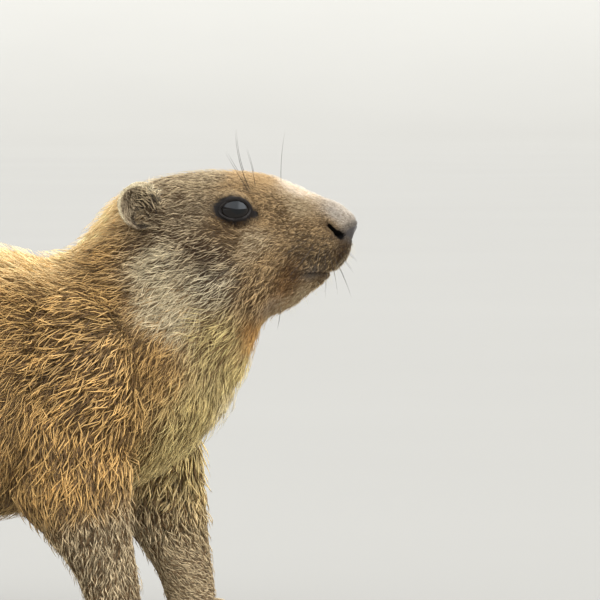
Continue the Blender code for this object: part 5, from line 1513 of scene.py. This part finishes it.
class MARMOT_OT_coat(Operator):
    """Roots tapered tufts in the skin, in locks that lie along the body"""

    bl_idname = "marmot.coat"
    bl_label = "Coat"

    def execute(self, context):
        skin = rooting_skin()
        random = np.random.default_rng(context.scene.marmot_coat.seed)
        roots, outs, uvs, parts = sow(skin, context.scene.marmot_coat, random)
        lengths = Fields(roots, outs, parts).length
        material = coat_material()
        least = 0.0
        for kind, (most, rings) in TUFTS.items():
            chosen = (lengths >= least) & (lengths < most)
            least = most
            grow(kind, rings, roots[chosen], outs[chosen], uvs[chosen], parts[chosen], material, random)
        return {"FINISHED"}


def grow(kind, rings, roots, outs, uvs, parts, material, random):
    """Makes the tufts of one kind as joined pieces, each with the coat's material and the solids it covers.
    """
    settings = bpy.context.scene.marmot_coat
    fields = Fields(roots, outs, parts)
    skin = rooting_skin()
    found, lie, middle, fuzzy = tuft_points(skin, roots, outs, fields, rings, settings, random)
    width = tuft_width(settings, fields, roots, parts) * random.uniform(0.75, 1.25, len(roots))
    start = roots - outs * ROOT_DEPTH
    points, faces = tuft_arrays(start, found, lie, width, rings, settings.flatness)
    colours = tuft_colours(fields, middle, fuzzy, rings, random)
    regions = region_of(roots, parts)
    size = points.shape[1]
    for region, slot in COAT_SLOTS.items():
        members = np.flatnonzero(regions == region)
        pieces = math.ceil(len(members) * len(faces) / MOST_TRIANGLES)
        for number, chosen in enumerate(np.array_split(members, pieces) if pieces else ()):
            triangles = (faces[None] + (np.arange(len(chosen)) * size)[:, None, None]).reshape(-1, 3)
            corners = tuft_uvs(uvs[chosen], faces, rings).reshape(-1, 2)
            name = f"coat_{region}_{kind}_{number + 1}"
            verts, tints = points[chosen].reshape(-1, 3), colours[chosen].reshape(-1, 3)
            nodes = [n for n in FLESH if n.startswith(region) or region == "foot" and "foot" in n]
            put(new_object(name, new_mesh(name, verts, triangles, corners, tints)), material, nodes)


def ball_mesh(name, axes, centre, radii, rings=48, sides=72):
    """A closed ellipsoid with its pole along the third axis, and the angle of each ring from it."""
    polar = np.linspace(0.02, math.pi - 0.02, rings)
    turn = np.linspace(0, 2 * math.pi, sides, endpoint=False)
    p, t = np.meshgrid(polar, turn, indexing="ij")
    local = np.stack([np.sin(p) * np.cos(t), np.sin(p) * np.sin(t), np.cos(p)], axis=-1) * radii
    return tube_mesh(name, local @ axes.T + centre), polar, sides


class MARMOT_OT_eyes(Operator):
    """Makes each eyeball and the wet rim of its lids"""

    bl_idname = "marmot.eyes"
    bl_label = "Eyes"

    def execute(self, context):
        gloss = eye_material()
        rim = leather_material("lid_rim", paint("rim"), 0.45, 0.0, 0.22)
        for side, label in BOTH:
            axes, centre = look_frame(EYE_LOOK, side), np.array(EYE_PLACE) * (1, side, 1)
            mesh, polar, sides = ball_mesh(f"eyeball_{label}", axes, centre, (EYE_RADIUS,) * 3)
            angle = np.repeat(polar, sides)[:, None]
            pupil, iris, white = (np.array(tint) for tint in (PUPIL, IRIS, EYE_WHITE))
            tint = pupil + (iris - pupil) * blend(*PUPIL_EDGE, angle)
            tint = tint + (white - tint) * blend(*IRIS_EDGE, angle)
            set_colours(mesh, np.concatenate([tint, tint[:1], tint[-1:]]))
            put(new_object(f"eyeball_{label}", mesh), gloss, [f"eye_{label}"])
            put(new_object(f"lid_rim_{label}", lid_rim(axes, centre)), rim)
        return {"FINISHED"}


def lid_rim(axes, centre):
    """A soft wet edge round the open lids, which follows the eyeball."""
    grid = []
    for angle in np.linspace(0, 2 * math.pi, EDGE_POINTS, endpoint=False):
        reach = LID_FRONT if math.cos(angle) > 0 else LID_BACK
        length = reach * 1.01 * math.cos(angle)
        height = LID_HEIGHT * 1.01 * math.copysign(abs(math.sin(angle)) ** 1.18, math.sin(angle))
        x = LID_CENTRE[0] + length * math.cos(LID_SLANT) + height * math.sin(LID_SLANT)
        y = LID_CENTRE[1] - length * math.sin(LID_SLANT) + height * math.cos(LID_SLANT)
        out = math.sqrt(max((EYE_RADIUS + LID_GAP) ** 2 - x * x - y * y, (0.3 * EYE_RADIUS) ** 2))
        radial = unit(np.array((x - LID_CENTRE[0], y - LID_CENTRE[1], 0.0)))
        ring = []
        for turn in np.linspace(0, 2 * math.pi, EDGE_SIDES, endpoint=False):
            wide, high = EDGE_WIDTH * math.cos(turn), EDGE_HEIGHT * math.sin(turn)
            local = np.array((x, y, out)) + radial * (wide + EDGE_WIDTH / 2) + np.array((0, 0, high))
            ring.append(centre + local @ axes.T)
        grid.append(ring)
    return tube_mesh("lid_rim", np.array(grid), looped=True)


class MARMOT_OT_nose(Operator):
    """Makes the leathery nose pad, which follows the snout down into the nostrils"""

    bl_idname = "marmot.nose"
    bl_label = "Nose"

    def execute(self, context):
        tree = rooting_skin().tree
        mesh, _, _ = ball_mesh("nose_pad", np.eye(3)[:, [1, 2, 0]], np.zeros(3), (1, 1, 1), *PAD_FINENESS)
        ways = places_of(mesh)
        centre = np.array(PAD_CENTRE)
        hits = np.array([tree.ray_cast(PAD_CENTRE, way)[3] for way in ways.tolist()])
        skin = centre + ways * hits[:, None]
        level = pad_level(skin)
        slot = nostril_distance(mirrored(skin))
        sunk = EDGE_SINK * blend(1.0, 1.4, level) + SLOT_SINK * blend(0.0015, 0.0010, slot)
        reach = hits + PAD_LIFT * blend(1.25, 0.95, level) - sunk
        spots = centre + ways * np.minimum(reach, PAD_DEPTH * (1.3 + 0.6 * ways[:, 0]))[:, None]
        move_to(mesh, spots)
        leather = leather_material("nose_leather", PAD_TINT, 0.5, 0.05)
        put(new_object("nose_pad", mesh), leather, ["nose"])
        return {"FINISHED"}


def tapered_tree():
    """Geometry nodes that turn each path into a closed tube, as thick as its points say."""
    tree = bpy.data.node_groups.new("tapered_tubes", "GeometryNodeTree")
    add = tree.interface.new_socket
    add("Paths", in_out="INPUT", socket_type="NodeSocketGeometry")
    add("Sides", in_out="INPUT", socket_type="NodeSocketInt").default_value = 6
    add("Thickness", in_out="INPUT", socket_type="NodeSocketFloat").default_value = 1.0
    add("Finish", in_out="INPUT", socket_type="NodeSocketMaterial")
    add("Tubes", in_out="OUTPUT", socket_type="NodeSocketGeometry")
    start, end = tree.nodes.new("NodeGroupInput"), tree.nodes.new("NodeGroupOutput")
    profile = node(tree, "GeometryNodeCurvePrimitiveCircle", {"Radius": 1.0})
    radius = node(tree, "GeometryNodeInputRadius")
    scale = node(tree, "ShaderNodeMath", operation="MULTIPLY")
    sweep = node(tree, "GeometryNodeCurveToMesh", {"Fill Caps": True})
    smooth = node(tree, "GeometryNodeSetShadeSmooth")
    real = node(tree, "GeometryNodeRealizeInstances")
    finish = node(tree, "GeometryNodeSetMaterial")
    link = tree.links.new
    link(start.outputs["Sides"], profile.inputs["Resolution"])
    link(radius.outputs[0], scale.inputs[0])
    link(start.outputs["Thickness"], scale.inputs[1])
    link(start.outputs["Paths"], sweep.inputs["Curve"])
    link(profile.outputs["Curve"], sweep.inputs["Profile Curve"])
    link(scale.outputs[0], sweep.inputs["Scale"])
    link(sweep.outputs["Mesh"], smooth.inputs["Geometry"])
    link(smooth.outputs["Geometry"], real.inputs["Geometry"])
    link(real.outputs["Geometry"], finish.inputs["Geometry"])
    link(start.outputs["Finish"], finish.inputs["Material"])
    link(finish.outputs["Geometry"], end.inputs["Tubes"])
    return tree


def tapered_tubes(name, paths, sides, material):
    """One mesh of tubes along paths of x, y, z and radius."""
    curve = bpy.data.curves.new(name, "CURVE")
    curve.dimensions = "3D"
    for path in paths:
        spline = curve.splines.new("POLY")
        spline.points.add(len(path) - 1)
        for point, (x, y, z, radius) in zip(spline.points, path):
            point.co = (x, y, z, 1)
            point.radius = radius
    obj = new_object(name, curve)
    modifier = obj.modifiers.new("tubes", "NODES")
    modifier.node_group = bpy.data.node_groups.get("tapered_tubes") or tapered_tree()
    sockets = {s.name: s.identifier for s in modifier.node_group.interface.items_tree}
    modifier[sockets["Sides"]] = sides
    modifier[sockets["Thickness"]] = 1.0
    modifier[sockets["Finish"]] = material
    bpy.context.view_layer.update()
    mesh = bpy.data.meshes.new_from_object(obj.evaluated_get(bpy.context.evaluated_depsgraph_get()))
    bpy.data.objects.remove(obj)
    mesh.name = name
    return mesh


class MARMOT_OT_claws(Operator):
    """Makes the long dark claws at the tips of the toes"""

    bl_idname = "marmot.claws"
    bl_label = "Claws"

    def execute(self, context):
        horn = horn_material()
        for side, label in BOTH:
            fore_step, hind_step = STEPS[label]
            for limb, rows, foot in (
                ("fore", foreleg_rows(side, fore_step)[1], FORE_FOOT),
                ("hind", hindleg_rows(side, hind_step)[1], HIND_FOOT),
            ):
                name = f"claws_{limb}_{label}"
                paths = [claw_path(tip, ahead) for _, tip, ahead in toe_paths(rows, foot, side)]
                mesh = tapered_tubes(name, paths, CLAW_SIDES, horn)
                height = np.clip(places_of(mesh)[:, 2:3] / (CLAW_LENGTH * CLAW_PALE_HEIGHT), 0, 1)
                set_colours(mesh, CLAW_DARK + height * np.array(CLAW_PALER))
                put(new_object(name, mesh), horn)
        return {"FINISHED"}


def claw_path(tip, ahead):
    """Points of a curved claw from the tip of its toe: x, y, z and radius."""
    rows = []
    for share, drop, thick in CLAW_SHAPE:
        spot = tip + ahead * CLAW_LENGTH * share - np.array((0, 0, CLAW_LENGTH * drop))
        rows.append((*spot, CLAW_RADIUS * thick))
    return through(np.arange(len(rows)), rows, np.linspace(0, len(rows) - 1, CLAW_POINTS))


class MARMOT_OT_whiskers(Operator):
    """Makes the whiskers of brow, muzzle, chin and cheek"""

    bl_idname = "marmot.whiskers"
    bl_label = "Whiskers"

    def execute(self, context):
        skin = rooting_skin()
        dark = whisker_material("whisker_dark", "charcoal")
        for side, label in BOTH:
            paths = []
            for (x, z), way, bend, length, thick in WHISKERS:
                hit = skin.tree.ray_cast(Vector((x, side * 0.2, z)), Vector((0, -side, 0)))[0]
                way, bend = (np.array(v) * (1, side, 1) for v in (unit(np.array(way)), bend))
                paths.append(hair_path(np.array(hit), way, bend, length, thick))
            name = f"whiskers_{label}"
            put(new_object(name, tapered_tubes(name, paths, WHISKER_SIDES, dark)), dark)
        pale = whisker_material("whisker_pale", "cream")
        mesh = tapered_tubes("bristles", bristle_paths(skin), BRISTLE_SIDES, pale)
        put(new_object("bristles", mesh), pale)
        return {"FINISHED"}


def hair_path(root, way, bend, length, thick):
    """Points of a tapering hair from a root: x, y, z and radius."""
    share = np.linspace(0, 1, WHISKER_POINTS)[:, None]
    path = root - way * 0.001 + (way * share + bend * share**2 * 0.5) * length
    return np.concatenate([path, thick * (1.05 - share**1.5)], axis=1)


def bristle_paths(skin):
    """Fine hairs that stand out all round the lips and the chin."""
    random = np.random.default_rng(bpy.context.scene.marmot_coat.seed)
    centres = skin.verts[skin.corners].mean(axis=1)
    outs = unit(skin.normals[skin.corners].sum(axis=1))
    near = (centres[:, 0] > 0.112) & (centres[:, 2] < 0.1670) & (np.abs(centres[:, 1]) < 0.0120)
    paths = []
    for pick in random.choice(np.flatnonzero(near & (outs[:, 2] < 0.4)), BRISTLES):
        way = unit(outs[pick] * 0.8 + (0.45, 0, -0.55) + random.normal(0, 0.12, 3))
        bend = np.array((-0.30, 0, -0.20))
        paths.append(hair_path(centres[pick], way, bend, random.uniform(*BRISTLE_LENGTHS), BRISTLE_RADIUS))
    return paths


def whisker_material(name, tint):
    material, tree, shader = principled(name, 0.4, Specular_IOR_Level=0.4)
    base = node(tree, "ShaderNodeRGB")
    base.outputs[0].default_value = (*paint(tint), 1.0)
    mottled(tree, shader, base.outputs[0], 300.0, 0.8, 1.2)
    return material


def studio_light(settings):
    """A world that is brighter in a wide window over the camera and in a round light over the back."""
    world = bpy.data.worlds.new("studio")
    world.use_nodes = True
    tree = world.node_tree
    way = node(tree, "ShaderNodeTexCoord").outputs["Generated"]

    def form(direction, ends, values):
        likeness = node(tree, "ShaderNodeVectorMath", {1: direction}, operation="DOT_PRODUCT")
        sockets = dict(zip(("From Min", "From Max", "To Min", "To Max"), (*ends, *values)))
        made = node(tree, "ShaderNodeMapRange", sockets, interpolation_type="SMOOTHSTEP")
        tree.links.new(way, likeness.inputs[0])
        tree.links.new(likeness.outputs["Value"], made.inputs["Value"])
        return made.outputs["Result"]

    def combine(operation, parts):
        total = parts[0]
        for part in parts[1:]:
            made = node(tree, "ShaderNodeMath", operation=operation)
            tree.links.new(total, made.inputs[0])
            tree.links.new(part, made.inputs[1])
            total = made.outputs["Value"]
        return total

    lights = []
    for name, (*forms, (direction, ends, values)) in LIGHTS.items():
        strong = [value * getattr(settings, name) for value in values]
        lights.append(combine("MULTIPLY", [form(*row) for row in forms] + [form(direction, ends, strong)]))
    shader = tree.nodes["Background"]
    shader.inputs["Color"].default_value = LIGHT_TINT
    total = combine("ADD", lights)
    tree.links.new(total, shader.inputs["Strength"])
    return world


def cove_mesh():
    """A round floor that curves up into a low wall, seen from its inside."""
    profile = [(radius, 0.0) for radius in FLOOR_RINGS]
    for angle in np.linspace(0.1, 1.3, 16):
        reach = FLOOR_RINGS[-1] + COVE_RADIUS * math.sin(angle)
        profile.append((reach, COVE_RADIUS - COVE_RADIUS * math.cos(angle)))
    sides = FLOOR_SIDES
    turn = np.linspace(0, 2 * math.pi, sides, endpoint=False)
    verts = [(0.0, 0.0, 0.0)]
    for r, z in profile:
        verts += [(r * math.cos(t), r * math.sin(t), z) for t in turn]
    faces = [(0, 1 + i, 1 + (i + 1) % sides) for i in range(sides)]
    for row in range(len(profile) - 1):
        a, b = 1 + row * sides, 1 + (row + 1) * sides
        faces += [(a + i, b + i, b + (i + 1) % sides, a + (i + 1) % sides) for i in range(sides)]
    mesh = bpy.data.meshes.new("studio_floor")
    mesh.from_pydata(verts, [], faces)
    mesh.shade_smooth()
    return mesh


def paper_material():
    """Paper that turns from the floor's colour to the backdrop's with its height."""
    material, tree, shader = principled("studio_paper", 0.9, Specular_IOR_Level=0.2)
    low, high = (node(tree, "ShaderNodeRGB").outputs[0] for _ in range(2))
    low.default_value, high.default_value = (*paint("floor"), 1.0), (*paint("backdrop"), 1.0)
    place = node(tree, "ShaderNodeTexCoord").outputs["Object"]
    parts = node(tree, "ShaderNodeSeparateXYZ")
    rise = node(tree, "ShaderNodeMapRange", {"From Min": 0.0, "From Max": BACKDROP_HEIGHT})
    mix = node(tree, "ShaderNodeMix", data_type="RGBA")
    tree.links.new(place, parts.inputs["Vector"])
    tree.links.new(parts.outputs["Z"], rise.inputs["Value"])
    tree.links.new(rise.outputs["Result"], mix.inputs["Factor"])
    tree.links.new(low, mix.inputs["A"])
    tree.links.new(high, mix.inputs["B"])
    mottled(tree, shader, mix.outputs["Result"], 1.5, 0.985, 1.015)
    return material


def studio_camera(settings):
    """A camera on the animal's right that frames it as the photograph does."""
    camera = bpy.data.cameras.new("camera")
    camera.sensor_width = SENSOR_WIDTH
    camera.lens = SENSOR_WIDTH * settings.distance / PICTURE_WIDTH
    camera.clip_start, camera.clip_end = 0.1, 100.0
    obj = new_object("camera", camera)
    back = Vector((0, -math.cos(settings.elevation), math.sin(settings.elevation)))
    obj.location = Vector(PICTURE_CENTRE) + Vector(SHIFT) + back * settings.distance
    obj.rotation_euler = (-back).to_track_quat("-Z", "Y").to_euler()
    return obj


class MARMOT_OT_stage(Operator):
    """Sets the floor, backdrop, soft lights and camera"""

    bl_idname = "marmot.stage"
    bl_label = "Stage"

    def execute(self, context):
        scene, settings = context.scene, context.scene.marmot_stage
        floor = new_object("studio_floor", cove_mesh())
        floor.data.materials.append(paper_material())
        scene.world = studio_light(settings)
        scene.camera = studio_camera(settings)
        scene.view_settings.view_transform = "Standard"
        scene.view_settings.look = "None"
        return {"FINISHED"}


class MARMOT_PT_panel(Panel):
    """Lists the marmot's pieces and their settings"""

    bl_label = "Marmot"
    bl_idname = "MARMOT_PT_panel"
    bl_space_type = "VIEW_3D"
    bl_region_type = "UI"
    bl_category = "Marmot"

    def draw(self, context):
        for cls in OPERATORS:
            self.layout.operator(cls.bl_idname)
        for group in ("marmot_skin", "marmot_coat", "marmot_colours", "marmot_stage"):
            settings = getattr(context.scene, group)
            for name in settings.__annotations__:
                self.layout.prop(settings, name)


OPERATORS = (
    MARMOT_OT_stage,
    MARMOT_OT_skin,
    MARMOT_OT_coat,
    MARMOT_OT_eyes,
    MARMOT_OT_nose,
    MARMOT_OT_claws,
    MARMOT_OT_whiskers,
)
GROUPS = {
    "marmot_colours": MarmotColours,
    "marmot_skin": MarmotSkin,
    "marmot_coat": MarmotCoat,
    "marmot_stage": MarmotStage,
}


def register():
    for cls in (*GROUPS.values(), *OPERATORS, MARMOT_PT_panel):
        bpy.utils.register_class(cls)
    for name, cls in GROUPS.items():
        setattr(bpy.types.Scene, name, PointerProperty(type=cls))


def unregister():
    for name in GROUPS:
        delattr(bpy.types.Scene, name)
    for cls in reversed((*GROUPS.values(), *OPERATORS, MARMOT_PT_panel)):
        bpy.utils.unregister_class(cls)


def main():
    register()
    for cls in OPERATORS:
        getattr(bpy.ops.marmot, cls.bl_idname.split(".")[1])()


if __name__ == "__main__":
    main()
